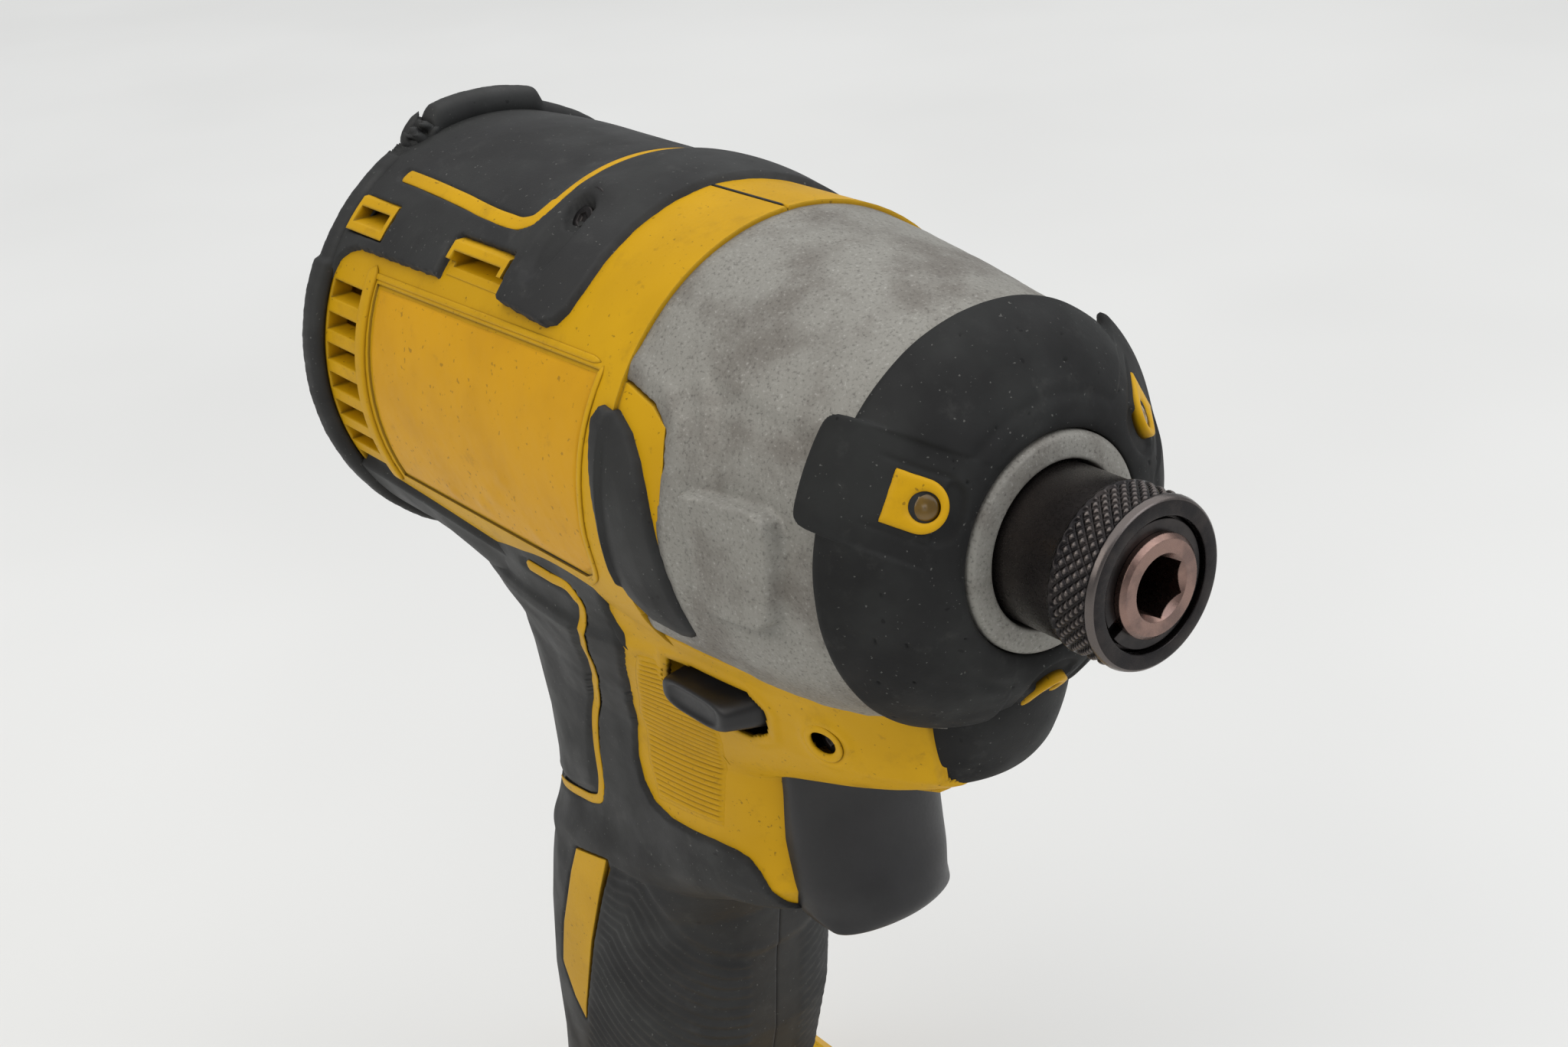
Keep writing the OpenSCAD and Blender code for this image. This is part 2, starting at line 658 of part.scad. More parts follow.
module overmould_half(head_side) {
    last = len(cover_line) - 1;
    top_screw = screws[1];
    difference() {
        right_part() union() {
            intersection() {
                turned(concat(cover_line, [[barrel_r + seat_gap, cover_line[last][1]],
                    [barrel_r + seat_gap, cover_line[0][1]]]));
                side_prism(cover_edge, -2*barrel_r, 2*barrel_r);
            }
            turned([[barrel_r + seat_gap, rim_front], [rim_r, rim_front], [rim_r, rear_x + rim_round],
                [rim_r - 0.8, rear_x + 0.6],
                [rim_r - rim_round, rear_x - rim_back], [rim_r - rim_in, rear_x - rim_back],
                    [rim_r - rim_in, rear_x - seat_gap],
                [barrel_r - rear_round + seat_gap, rear_x - seat_gap], [barrel_r + seat_gap,
                    rear_x + rear_round]]);
        }
        for (w = windows) {
            window_box(w, 0, -2*barrel_r, -10);
        }
        rod_y(boss_r + fit_gap, top_screw[0], top_screw[1], -2*barrel_r, 1);
        if (head_side) {
            translate([top_screw[0], top_screw[2] - screw_head_h - dish_depth,
                top_screw[1]]) rotate([-90, 0, 0])
                cylinder(r1 = dish_r, r2 = boss_r + fit_gap, h = dish_depth);
        }
    }
}

module right_overmould() {
    color(rubber) overmould_half(true);
}

module left_overmould() {
    color(rubber) mirror([0, 1, 0]) overmould_half(false);
}

module grip_half() {
    difference() {
        intersection() {
            grip_layer();
            side_prism(grip_edge, -40, 0);
        }
        rod_x(barrel_r + 0.2, seam_x, rear_x - 3);
        side_prism(inlay_edge, -40, -5);
    }
}

module right_grip() {
    color(rubber) grip_half();
}

module left_grip() {
    color(rubber) mirror([0, 1, 0]) grip_half();
}

module inlay_half() {
    intersection() {
        grip_layer();
        side_prism(inlay_edge, -40, -5);
    }
}

module right_inlay() {
    color(yellow) inlay_half();
}

module left_inlay() {
    color(yellow) mirror([0, 1, 0]) inlay_half();
}

module bumper_half() {
    intersection() {
        turned(concat(case_line(bumper_t + bumper_rise, -45, seam_x - 3, 7), flip(concat(
            case_line(seat_gap, -45, seam_x + seat_gap, 5), case_line(bumper_rise, seam_x + seat_gap,
                seam_x - 3, 2)))));
        side_prism(bumper_edge, -2*case_r, -0.3*case_r);
    }
}

module right_bumper() {
    color(rubber) bumper_half();
}

module left_bumper() {
    color(rubber) mirror([0, 1, 0]) bumper_half();
}

module on_side(side) {
    if (side < 0) {
        children();
    } else {
        mirror([0, 1, 0]) children();
    }
}

// A layer of the case wall inside a side view outline, from so far above the case surface to so far below it
module side_feature(side, edge, above, below) {
    front = max([for (p = edge) p[0]]) + 1;
    rear = min([for (p = edge) p[0]]) - 1;
    on_side(side) intersection() {
        turned(concat(case_line(above, front, rear, 7), flip(case_line(-below, front, rear, 7))));
        side_prism(edge, -1.5*case_r, -0.3*case_r);
    }
}

module hammer_case() {
    color(alloy) difference() {
        union() {
            difference() {
                case_solid(0, 0);
                for (side = [-1, 1]) {
                    side_feature(side, hollow_edge, 3, hollow_depth);
                }
            }
            rod_x(spigot_r, seam_x + 1, plate_front + 0.05);
            turned([[0, -21], [nose_ring_r, -21], [nose_ring_r, ring_face - 0.5], [nose_ring_r - 0.5,
                ring_face], [0, ring_face]]);
            for (side = [-1, 1]) {
                side_feature(side, pad_edge, pad_h - hollow_depth, 2);
            }
        }
        turned([[0, 1], [ring_hole_r, 1], [ring_hole_r, bushing_front], [bushing_r, bushing_front],
            [bushing_r, jaw_front + 0.4],
            [hammer_r + 1, jaw_front + 0.4], [hammer_r + 2.2, -46], [hammer_r + 2.2, -68], [ring_gear_r,
                -68 - 3],
            [ring_gear_r, plate_front - 1], [0, plate_front - 1]]);
        for (side = [-1, 1]) {
            intersection() {
                side_feature(side, notch_edge, 4, notch_depth);
                block([seam_x, -2*case_r, -2*case_r], [0, 2*case_r, 2*case_r]);
            }
        }
    }
}

module around_lamps() {
    for (a = lamp_angles) {
        rotate([a, 0, 0]) children();
    }
}

module nose_boot() {
    color(rubber) difference() {
        union() {
            turned(concat(boot_line, [[nose_ring_r + 0.6, -18.9], [nose_ring_r + 0.2, -19.4],
                [nose_ring_r + 0.2, -21.5],
                [10, -22], [10, -boot_back]]));
            around_lamps() intersection() {
                turned(boot_lug_edge);
                block([-30, -lug_w/2, 10], [-15, lug_w/2, 30]);
            }
            intersection() {
                turned(chin_line);
                translate([chin_rear - chin_set, 0, -2*chin_r]) cylinder(r = chin_round_r,
                    h = 2*chin_r - lamp_tab_in);
            }
        }
        case_solid(seat_gap, 0);
        rod_x(nose_ring_r + 0.2, -10, -24);
        around_lamps() lamp_tab(0.1);
    }
}

// One lamp tab at the top, grown on all sides
module lamp_tab(grow) {
    intersection() {
        turned([[lamp_tab_in - grow, -22.5], [lamp_tab_in - grow, -17.4 + 4*grow], [20.8,
            -17.4 + 4*grow], [lamp_tab_out + grow, -20.2 + 4*grow],
            [lamp_tab_out + grow, -22.5]]);
        union() {
            block([-30, -lamp_tab_w/2 - grow, lamp_r], [-15, lamp_tab_w/2 + grow, 30]);
            translate([-30, 0, lamp_r + 0.8]) rotate([0, 90, 0]) cylinder(r = lamp_tab_w/2 + grow, h = 15);
        }
    }
}

module lamp_carrier() {
    color(yellow) difference() {
        around_lamps() lamp_tab(0);
        case_solid(seat_gap, 0);
        around_lamps() translate([-20.2, 0, lamp_r + 0.5]) rotate([0, 90, 0]) cylinder(r = lamp_hole_r, h = 10);
    }
}

module lamp_lenses() {
    color([0.95, 0.95, 0.85]) around_lamps() translate([-20.2, 0, lamp_r + 0.5]) rotate([0, 90, 0])
        cylinder(r = lamp_hole_r, h = 0.8);
}

module anvil() {
    color(steel) difference() {
        union() {
            turned([[0, 0], [nose_r - 0.5, 0], [nose_r, -0.5], [nose_r, clip_front], [clip_groove_r,
                clip_front],
                [clip_groove_r, washer_front], [nose_r, washer_front], [nose_r, -20.2], [journal_r,
                    -20.4], [journal_r, jaw_front],
                [hub_r, jaw_front], [hub_r, jaw_rear], [0, jaw_rear]]);
            intersection() {
                rod_x(jaw_r, jaw_front, jaw_rear);
                block([-60, -wing_w/2, -30], [-30, wing_w/2, 30]);
            }
        }
        translate([-socket_depth, 0, 0]) rotate([0, 90, 0]) cylinder(r = socket_flats/2/cos(30),
            h = socket_depth + 1, $fn = 6);
        turned([[0, 1], [4.9, 1], [2.9, -1], [0, -1]]);
        for (a = [0, 180]) {
            rotate([a, 0, 0]) translate([ball_x, 0, 2]) cylinder(r = ball_r + run_gap, h = 10);
        }
        rod_x(pilot_r + run_gap, pilot_front + 0.3, jaw_rear - 1);
    }
}

module sleeve() {
    color(dark_steel) turned([[spring_room_r, sleeve_front - 0.4], [spring_room_r + 0.4, sleeve_front],
        [sleeve_r - 0.7, sleeve_front],
        [sleeve_r, sleeve_front - 0.7], [sleeve_r, knurl_rear + 0.6], [sleeve_neck_r + 0.2, knurl_rear],
            [sleeve_neck_r, knurl_rear - 0.4],
        [sleeve_neck_r, sleeve_rear + 0.3], [sleeve_neck_r - 0.3, sleeve_rear], [nose_r + run_gap, sleeve_rear],
        [nose_r + run_gap, land_front], [spring_room_r, land_front]]);
}

module sleeve_spring() {
    color(steel) coil(6.98, 0.45, washer_rear - seat_gap, land_front + seat_gap, 3.5);
}

module spring_washer() {
    color(dark_steel) ring_x(spring_room_r - 0.3, nose_r + run_gap, washer_front, washer_rear);
}

module retaining_ring() {
    color(dark_steel) difference() {
        ring_x(clip_r, clip_groove_r + seat_gap, clip_front - 0.05, washer_front + 0.05);
        rotate([118, 0, 0]) block([-5, -0.9, 0], [0, 0.9, 12]);
    }
}

module detent_balls() {
    color(steel) for (a = [0, 180]) {
        rotate([a, 0, 0]) translate([ball_x, 0, ball_ring_r]) sphere(ball_r);
    }
}

module anvil_bushing() {
    color(bronze) ring_x(bushing_r, journal_r + run_gap, bushing_front, bushing_rear);
}

module hammer() {
    color(steel) difference() {
        union() {
            rod_x(hammer_r, hammer_front, hammer_rear);
            intersection() {
                ring_x(hammer_r, lug_in_r, lug_front, hammer_front - 1);
                block([-60, -30, -lug_half_w], [-30, 30, lug_half_w]);
            }
        }
        rod_x(cam_r + run_gap, hammer_front + 1, hammer_rear - 1);
        ring_x(pocket_r, pocket_in_r, pocket_front, hammer_rear - 1);
        for (a = [0, 180]) {
            rotate([a, 0, 0]) translate([0, 0, cam_r]) rotate([0, 90, 0])
                translate([0, 0, cam_ball_x - cam_ball_r - 0.3]) cylinder(r = cam_ball_r + 0.3, h = 12);
        }
    }
}

module hammer_spring() {
    color(steel) coil(hammer_spring_r, hammer_wire_r, pocket_front - seat_gap, seat_front + seat_gap, 4.5);
}

module spring_seat() {
    color(steel) ring_x(seat_r, seat_in_r, seat_front, flange_front);
}

module at_planet(k) {
    rotate([120*k, 0, 0]) translate([0, 0, -gear_distance]) children();
}

module gear_x(edge, front, rear) {
    translate([rear, 0, 0]) rotate([0, 90, 0]) linear_extrude(front - rear) polygon(edge);
}

module cam_shaft() {
    color(steel) difference() {
        union() {
            turned([[0, pilot_front], [pilot_r, pilot_front], [pilot_r, cam_front], [cam_r, cam_front],
                [cam_r, flange_front],
                [flange_r, flange_front], [flange_r, flange_rear], [0, flange_rear]]);
            turned([[sun_hole_r, rear_plate_front], [flange_r, rear_plate_front], [flange_r, rear_plate_rear],
                [carrier_hub_r, rear_plate_rear], [carrier_hub_r, plate_front - 3.4], [sun_hole_r,
                    plate_front - 3.4]]);
            for (k = [0:2]) {
                rotate([60 + 120*k, 0, 0]) translate([0, 0, -post_ring_r]) rod_x(post_r,
                    flange_rear + 0.5, rear_plate_front - 0.5);
            }
        }
        for (a = [0, 180]) {
            rotate([a, 0, 0]) translate([cam_ball_x - hammer_travel - 2, 0, cam_r]) rotate([0, 90, 0])
                cylinder(r = cam_ball_r + 0.02, h = hammer_travel + 2 + cam_ball_r);
        }
        for (k = [0:2]) {
            at_planet(k) rod_x(pin_r, flange_front + 1, rear_plate_rear - 1);
        }
    }
}

module cam_balls() {
    color(steel) for (a = [0, 180]) {
        rotate([a, 0, 0]) translate([cam_ball_x, 0, cam_r]) sphere(cam_ball_r);
    }
}

module planet(k) {
    pitch = tooth_module*planet_teeth/2;
    color(steel) at_planet(k) difference() {
        gear_x([for (p = gear_edge(planet_teeth, pitch - dedendum*tooth_module,
            pitch + addendum*tooth_module, -backlash))
            [p[0]*cos(10) - p[1]*sin(10), p[0]*sin(10) + p[1]*cos(10)]], planet_front, planet_rear);
        rod_x(pin_r + run_gap, planet_front + 1, planet_rear - 1);
    }
}

module planet_a() {
    planet(0);
}

module planet_b() {
    planet(1);
}

module planet_c() {
    planet(2);
}

module planet_pins() {
    color(dark_steel) for (k = [0:2]) {
        at_planet(k) rod_x(pin_r, flange_front - 0.2, rear_plate_rear + 0.2);
    }
}

module ring_gear() {
    pitch = tooth_module*ring_teeth/2;
    color(steel) difference() {
        rod_x(ring_gear_r - seat_gap, ring_gear_front, plate_front + 0.05);
        rotate([4, 0, 0]) gear_x(gear_edge(ring_teeth, pitch - addendum*tooth_module,
            pitch + dedendum*tooth_module, backlash),
            ring_gear_front + 1, plate_front - 1);
    }
}

module gearbox_plate() {
    color(alloy) turned([[carrier_bearing_r, plate_front], [spigot_r, plate_front], [spigot_r,
        plate_rear], [plate_boss_r, plate_rear],
        [plate_boss_r, plate_boss_rear], [motor_bearing_r, plate_boss_rear], [motor_bearing_r,
            motor_bearing_front],
        [shaft_r + 2, motor_bearing_front], [shaft_r + 2, plate_front - 3.8], [carrier_bearing_r,
            plate_front - 3.8]]);
}

module carrier_bearing() {
    color(steel) ring_x(carrier_bearing_r, carrier_hub_r + run_gap, plate_front - 0.05, plate_front - 3.75);
}

module rotor() {
    color(dark_steel) ring_x(rotor_r, shaft_r, stator_front + 0.5, stator_rear - 0.5);
}

module rotor_shaft() {
    pitch = tooth_module*sun_teeth/2;
    color(steel) union() {
        rod_x(shaft_r, shaft_front, shaft_rear);
        gear_x(gear_edge(sun_teeth, pitch - dedendum*tooth_module, pitch + addendum*tooth_module,
            -backlash), shaft_front, pinion_rear);
    }
}

module stator_teeth(width, in_r, out_r, front, rear) {
    intersection() {
        ring_x(out_r, in_r, front, rear);
        union() {
            for (k = [0:tooth_count - 1]) {
                rotate([360/tooth_count*k, 0, 0]) block([rear - 1, -width/2, 0], [front + 1, width/2,
                    out_r + 1]);
            }
        }
    }
}

module stator() {
    color(dark_steel) union() {
        ring_x(stator_r, stator_r - stator_yoke, stator_front, stator_rear);
        stator_teeth(tooth_w, stator_in_r, stator_r - 1, stator_front, stator_rear);
    }
}

module windings() {
    color(copper) difference() {
        stator_teeth(coil_w, stator_in_r + 1.4, stator_r - stator_yoke - seat_gap,
            stator_front + coil_over, stator_rear - coil_over);
        stator_teeth(tooth_w + 2*seat_gap, stator_in_r, stator_r, stator_front + seat_gap,
            stator_rear - seat_gap);
    }
}

module fan() {
    color(rubber) union() {
        ring_x(fan_r, shaft_r, fan_front, fan_front - 1.2);
        ring_x(fan_hub_r, shaft_r, fan_front, fan_rear);
        for (k = [0:fan_blades - 1]) {
            rotate([360/fan_blades*k, 0, 0]) block([fan_rear, -0.6, fan_hub_r - 1], [fan_front - 0.5,
                0.6, fan_r - 0.5]);
        }
    }
}

module front_bearing() {
    color(steel) ring_x(motor_bearing_r, shaft_r + run_gap, motor_bearing_front, motor_bearing_rear);
}

module rear_bearing() {
    color(steel) ring_x(rear_bearing_r, shaft_r + run_gap, rear_bearing_front, rear_bearing_rear);
}

module sensor_board() {
    color(board_green) union() {
        ring_x(stator_r - 1.5, stator_in_r + 0.9, board_front, board_rear);
        for (k = [0:2]) {
            rotate([30 + 120*k, 0, 0]) translate([0, 0, stator_r - 2.4]) rod_x(0.8, board_rear + 0.5,
                stator_front + 0.02);
        }
    }
}

module trigger() {
    color(rubber) union() {
        difference() {
            intersection() {
                stacked([for (row = trigger_sections) trigger_row(row)]);
                side_prism(trigger_edge, -2*trigger_half_w, 2*trigger_half_w);
            }
            block([trigger_rear - 1, -6.6, -60.4], [trigger_room, 6.6, -47]);
        }
        translate([0, 0, stem_z]) rod_x(stem_r, trigger_room + 1, stem_rear);
    }
}

module trigger_spring() {
    color(steel) translate([0, 0, stem_z]) coil(trigger_spring_r, trigger_wire_r,
        trigger_room - seat_gap, switch_front + seat_gap, 5.5);
}

module trigger_switch() {
    color(dark_steel) difference() {
        block([switch_rear, -switch_half_w, switch_bottom], [switch_front, switch_half_w, switch_top]);
        translate([0, 0, stem_z]) rod_x(stem_r + 0.3, switch_front + 1, stem_rear - trigger_travel - 1);
    }
}

module direction_button() {
    rear = button_front - button_len;
    cap = [[rear + 1.8, button_top], [button_front - 1.8, button_top], [button_front, -30.4],
        [button_front - 2.2, button_bottom],
        [rear + 2.6, button_bottom], [rear, -30]];
    left_root = -button_root - button_travel;
    color(rubber) union() {
        side_prism(cap, button_face, button_root);
        side_prism(cap, left_root, -button_face - button_travel);
        block([bar_rear, button_root - 0.5, button_bottom], [bar_front, -bar_end + 2, link_top]);
        block([bar_rear, bar_end - button_travel - 2, button_bottom], [bar_front, left_root + 0.5, link_top]);
        block([bar_rear, -bar_end, bar_bottom], [bar_front, -bar_end + 2, link_top]);
        block([bar_rear, bar_end - button_travel - 2, bar_bottom], [bar_front, bar_end - button_travel,
            link_top]);
        block([bar_rear, -bar_end, bar_bottom], [bar_front, bar_end - button_travel, bar_top]);
    }
}

module mode_selector() {
    color(rubber) block([foot_front - 4.5, -selector_half_w - mode_travel/2, selector_z - 1.5],
        [foot_front + 1.2, selector_half_w - mode_travel/2, selector_z + 1.5]);
}

module control_board() {
    color(board_green) block([board_back, -board_half_w, floor_top + 0.02], [board_ahead, board_half_w,
        floor_top + board_t]);
}

module terminal_block() {
    color(dark_steel) block([block_rear, -block_half_w, block_bottom], [block_front, block_half_w,
        floor_z - 0.02]);
}

module terminal_blades() {
    color(copper) for (y = [-11, -4, 4, 11]) {
        block([block_front + 0.02, y - blade_t/2, block_bottom + 1.5], [blade_front, y + blade_t/2,
            floor_z - 2]);
    }
}

module hook_inserts() {
    color(bronze) for (side = [-1, 1]) {
        difference() {
            rod_y(insert_r, hook_x, hook_z, side < 0 ? -foot_w/2 : foot_w/2 - hook_depth,
                side < 0 ? -foot_w/2 + hook_depth : foot_w/2);
            rod_y(hook_r, hook_x, hook_z, -foot_w, foot_w);
        }
    }
}

module housing_screws() {
    color(dark_steel) for (p = screws) {
        difference() {
            union() {
                rod_y(screw_r, p[0], p[1], p[2] - 1, p[3]);
                rod_y(screw_head_r, p[0], p[1], p[2] - screw_head_h, p[2]);
            }
            translate([p[0], p[2] - screw_head_h - 1, p[1]]) rotate([-90, 0, 0]) cylinder(r = 1.2,
                h = 2.2, $fn = 6);
        }
    }
}

right_housing();
left_housing();
right_overmould();
left_overmould();
right_grip();
left_grip();
right_inlay();
left_inlay();
right_bumper();
left_bumper();
hammer_case();
nose_boot();
lamp_carrier();
lamp_lenses();
anvil();
sleeve();
sleeve_spring();
spring_washer();
retaining_ring();
detent_balls();
anvil_bushing();
hammer();
hammer_spring();
spring_seat();
cam_shaft();
cam_balls();
planet_a();
planet_b();
planet_c();
planet_pins();
ring_gear();
gearbox_plate();
carrier_bearing();
rotor();
rotor_shaft();
stator();
windings();
fan();
front_bearing();
rear_bearing();
sensor_board();
trigger();
trigger_spring();
trigger_switch();
direction_button();
mode_selector();
control_board();
terminal_block();
terminal_blades();
hook_inserts();
housing_screws();
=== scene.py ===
import json
import bpy
import numpy as np
from mathutils import Matrix


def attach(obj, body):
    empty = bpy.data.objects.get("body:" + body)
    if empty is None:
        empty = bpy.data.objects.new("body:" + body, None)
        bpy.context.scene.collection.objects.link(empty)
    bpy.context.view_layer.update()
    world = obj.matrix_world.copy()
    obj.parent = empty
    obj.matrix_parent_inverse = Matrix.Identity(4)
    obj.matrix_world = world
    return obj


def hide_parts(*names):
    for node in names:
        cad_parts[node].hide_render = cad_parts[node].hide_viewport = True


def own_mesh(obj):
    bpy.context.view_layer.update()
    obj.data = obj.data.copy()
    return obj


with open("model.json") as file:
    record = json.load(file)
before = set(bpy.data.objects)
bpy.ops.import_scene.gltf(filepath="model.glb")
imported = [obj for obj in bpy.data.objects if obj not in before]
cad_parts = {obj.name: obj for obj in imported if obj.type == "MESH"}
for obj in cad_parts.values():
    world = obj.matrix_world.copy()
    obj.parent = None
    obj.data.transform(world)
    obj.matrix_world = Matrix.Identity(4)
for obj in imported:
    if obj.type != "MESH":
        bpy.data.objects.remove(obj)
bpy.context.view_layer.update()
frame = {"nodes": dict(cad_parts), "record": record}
mm = 0.001


def hexLinear(code):  # sRGB hex to linear colour
    srgb = np.array([int(code[i:i + 2], 16) for i in (1, 3, 5)]) / 255
    linear = np.where(srgb <= 0.04045, srgb / 12.92, ((srgb + 0.055) / 1.055) ** 2.4)
    return (*map(float, linear), 1.0)


def addNode(tree, kind, links=None, **settings):  # one node: its settings, then a value or a link for each socket
    node = tree.nodes.new("ShaderNode" + kind if tree.bl_idname == "ShaderNodeTree" else kind)
    for key, value in settings.items():
        setattr(node, key, value)
    for socket, value in (links or {}).items():
        value = value.outputs[0] if isinstance(value, bpy.types.Node) else value
        if isinstance(value, bpy.types.NodeSocket):
            tree.links.new(value, node.inputs[socket])
        else:
            node.inputs[socket].default_value = value
    return node


def newMaterial(name):  # an empty material, its node tree, and the place on the piece that patterns are laid out by
    material = bpy.data.materials.new(name)
    material.use_nodes = True
    tree = material.node_tree
    tree.nodes.clear()
    return material, tree, addNode(tree, "TexCoord").outputs["Object"]


# One colour laid over another, by a share that grows to amount as a value goes from low to high
def layOver(tree, colour, value, low, high, amount, code, curve="LINEAR"):
    share = addNode(tree, "MapRange", {"Value": value, "From Min": low, "From Max": high, "To Max": amount},
                    interpolation_type=curve)
    return addNode(tree, "Mix", {0: share, 6: colour, 7: hexLinear(code)}, data_type="RGBA").outputs[2]


# Stains laid one over another, each a noise of a real size cut softly between low and high
def layStains(tree, place, base, stains):
    colour = hexLinear(base)
    for stain in stains:
        grain = addNode(tree, "TexNoise", {"Vector": place, "Scale": 1 / (stain["mm"] * mm),
                                           "Detail": stain.get("detail", 3.0), "Roughness": stain.get("rough", 0.55)})
        colour = layOver(tree, colour, grain, stain["low"], stain["high"], stain["amount"], stain["hex"], "SMOOTHSTEP")
    return colour


# Edges rubbed pale, where the rounded normal leans away from the face's own
def rubEdges(tree, colour, edge, lean, amount, code):
    facing = addNode(tree, "NewGeometry").outputs["Normal"]
    turned = addNode(tree, "VectorMath", {0: edge, 1: facing}, operation="DOT_PRODUCT").outputs["Value"]
    return layOver(tree, colour, turned, 0.985, lean, amount, code)


# The end of every finish: a grain's bump (strength, mm) over rounded edges, a gloss that follows a noise, the surface
def closeFinish(material, tree, colour, edge, grain, bump, gloss, surface):
    raised = addNode(tree, "Bump", {"Strength": bump[0], "Distance": bump[1] * mm, "Height": grain, "Normal": edge})
    polish = addNode(tree, "MapRange", gloss)
    shader = addNode(tree, "BsdfPrincipled", {"Base Color": colour, "Roughness": polish, "Normal": raised, **surface})
    addNode(tree, "OutputMaterial", {"Surface": shader})
    return material


print("stage: materials")

# Moulded glass-filled nylon: satin amber, duller in patches, peppered with grime, painted shade in corners, pale worn
# edges
nylon = {"base": "#c99a0a", "edge": "#d4a828", "corner": "#3f2d0c", "grainMm": 0.45, "stains": [
    {"mm": 24, "low": 0.36, "high": 0.68, "amount": 1.0, "hex": "#bc8f07"},
    {"mm": 6.5, "low": 0.52, "high": 0.8, "amount": 0.45, "hex": "#8c6914", "detail": 6.0, "rough": 0.68},
    {"mm": 1.6, "low": 0.66, "high": 0.76, "amount": 0.3, "hex": "#7a5a1a"},
    {"mm": 0.7, "low": 0.71, "high": 0.77, "amount": 0.5, "hex": "#3c2e12", "detail": 1.0}]}


def mouldedNylon(name, tone):
    material, tree, place = newMaterial(name)
    colour = layStains(tree, place, tone["base"], tone["stains"])
    edge = addNode(tree, "Bevel", {"Radius": 0.5 * mm}, samples=6)
    colour = rubEdges(tree, colour, edge, 0.86, 0.6, tone["edge"])
    # Painted shade: darker in corners and recesses by ambient occlusion, in the corner colour
    shade = addNode(tree, "AmbientOcclusion", {"Distance": 2.0 * mm}, samples=8).outputs["AO"]
    colour = layOver(tree, colour, shade, 0.78, 0.3, 0.85, tone["corner"])
    grain = addNode(tree, "TexNoise", {"Vector": place, "Scale": 1 / (tone["grainMm"] * mm), "Detail": 2.0})
    gloss = {"Value": grain, "To Min": 0.42, "To Max": 0.6}
    surface = {"IOR": 1.53, "Specular IOR Level": 0.16}
    return closeFinish(material, tree, colour, edge, grain, (0.15, 0.06), gloss, surface)


# Overmoulded elastomer: matt charcoal, greyer where dust sits, pale lint, small nicks, worn shiny in places
elastomer = {"base": "#1d1d1d", "edge": "#3a3a3a", "grainMm": 0.4, "sheen": 0.42, "stains": [
    {"mm": 15, "low": 0.38, "high": 0.68, "amount": 0.8, "hex": "#2a2b2a", "detail": 4.0},
    {"mm": 4, "low": 0.55, "high": 0.75, "amount": 0.35, "hex": "#3f3f3d", "detail": 6.0, "rough": 0.65},
    {"mm": 0.5, "low": 0.72, "high": 0.79, "amount": 0.35, "hex": "#83837f", "detail": 1.0},
    {"mm": 1.5, "low": 0.76, "high": 0.8, "amount": 1.0, "hex": "#131313", "detail": 1.0}]}


def mouldedElastomer(name, tone, gloss):
    material, tree, place = newMaterial(name)
    colour = layStains(tree, place, tone["base"], tone["stains"])
    edge = addNode(tree, "Bevel", {"Radius": 0.5 * mm}, samples=6)
    colour = rubEdges(tree, colour, edge, 0.85, 0.5, tone["edge"])
    grain = addNode(tree, "TexNoise", {"Vector": place, "Scale": 1 / (tone["grainMm"] * mm), "Detail": 3.0})
    cloud = addNode(tree, "TexNoise", {"Vector": place, "Scale": 1 / (9 * mm), "Detail": 4.0})
    polish = {"Value": cloud, "From Min": 0.35, "From Max": 0.65, "To Min": gloss[0], "To Max": gloss[1]}
    surface = {"IOR": 1.5, "Specular IOR Level": tone["sheen"]}
    return closeFinish(material, tree, colour, edge, grain, (0.25, 0.07), polish, surface)


# The nose's elastomer: the same compound, duller and cleaner, knocked about more
noseElastomer = {**elastomer, "base": "#1b1b1b", "edge": "#333333", "sheen": 0.2}

# Die-cast aluminium, blasted: grey and sandy, with painted glints on the grain's high points and painted shade in its
# pits, soft stains and bright rubs
casting = {"base": "#8b8982", "pitShade": "#3f3b37", "glint": "#c4c3bd", "grainMm": 0.42, "stains": [
    {"mm": 10, "low": 0.42, "high": 0.68, "amount": 0.8, "hex": "#6b665f", "detail": 5.0, "rough": 0.6},
    {"mm": 3.4, "low": 0.6, "high": 0.76, "amount": 0.45, "hex": "#5b5550", "detail": 6.0, "rough": 0.7},
    {"mm": 5.2, "low": 0.66, "high": 0.76, "amount": 0.35, "hex": "#b9b8b2", "detail": 8.0, "rough": 0.74}]}


def blastedCasting(name, tone):
    material, tree, place = newMaterial(name)
    colour = layStains(tree, place, tone["base"], tone["stains"])
    scale = 1 / (tone["grainMm"] * mm)
    grit = addNode(tree, "TexNoise", {"Vector": place, "Scale": scale, "Detail": 2.0, "Roughness": 0.6})
    # Painted shade and painted highlight: dark where the grain's bump is low, pale glints where it is high
    colour = layOver(tree, colour, grit, 0.44, 0.28, 0.5, tone["pitShade"])
    colour = layOver(tree, colour, grit, 0.6, 0.76, 0.32, tone["glint"])
    edge = addNode(tree, "Bevel", {"Radius": 0.5 * mm}, samples=6)
    gloss = {"Value": grit, "To Min": 0.7, "To Max": 0.48}
    return closeFinish(material, tree, colour, edge, grit, (0.45, 0.12), gloss, {"Metallic": 0.3})
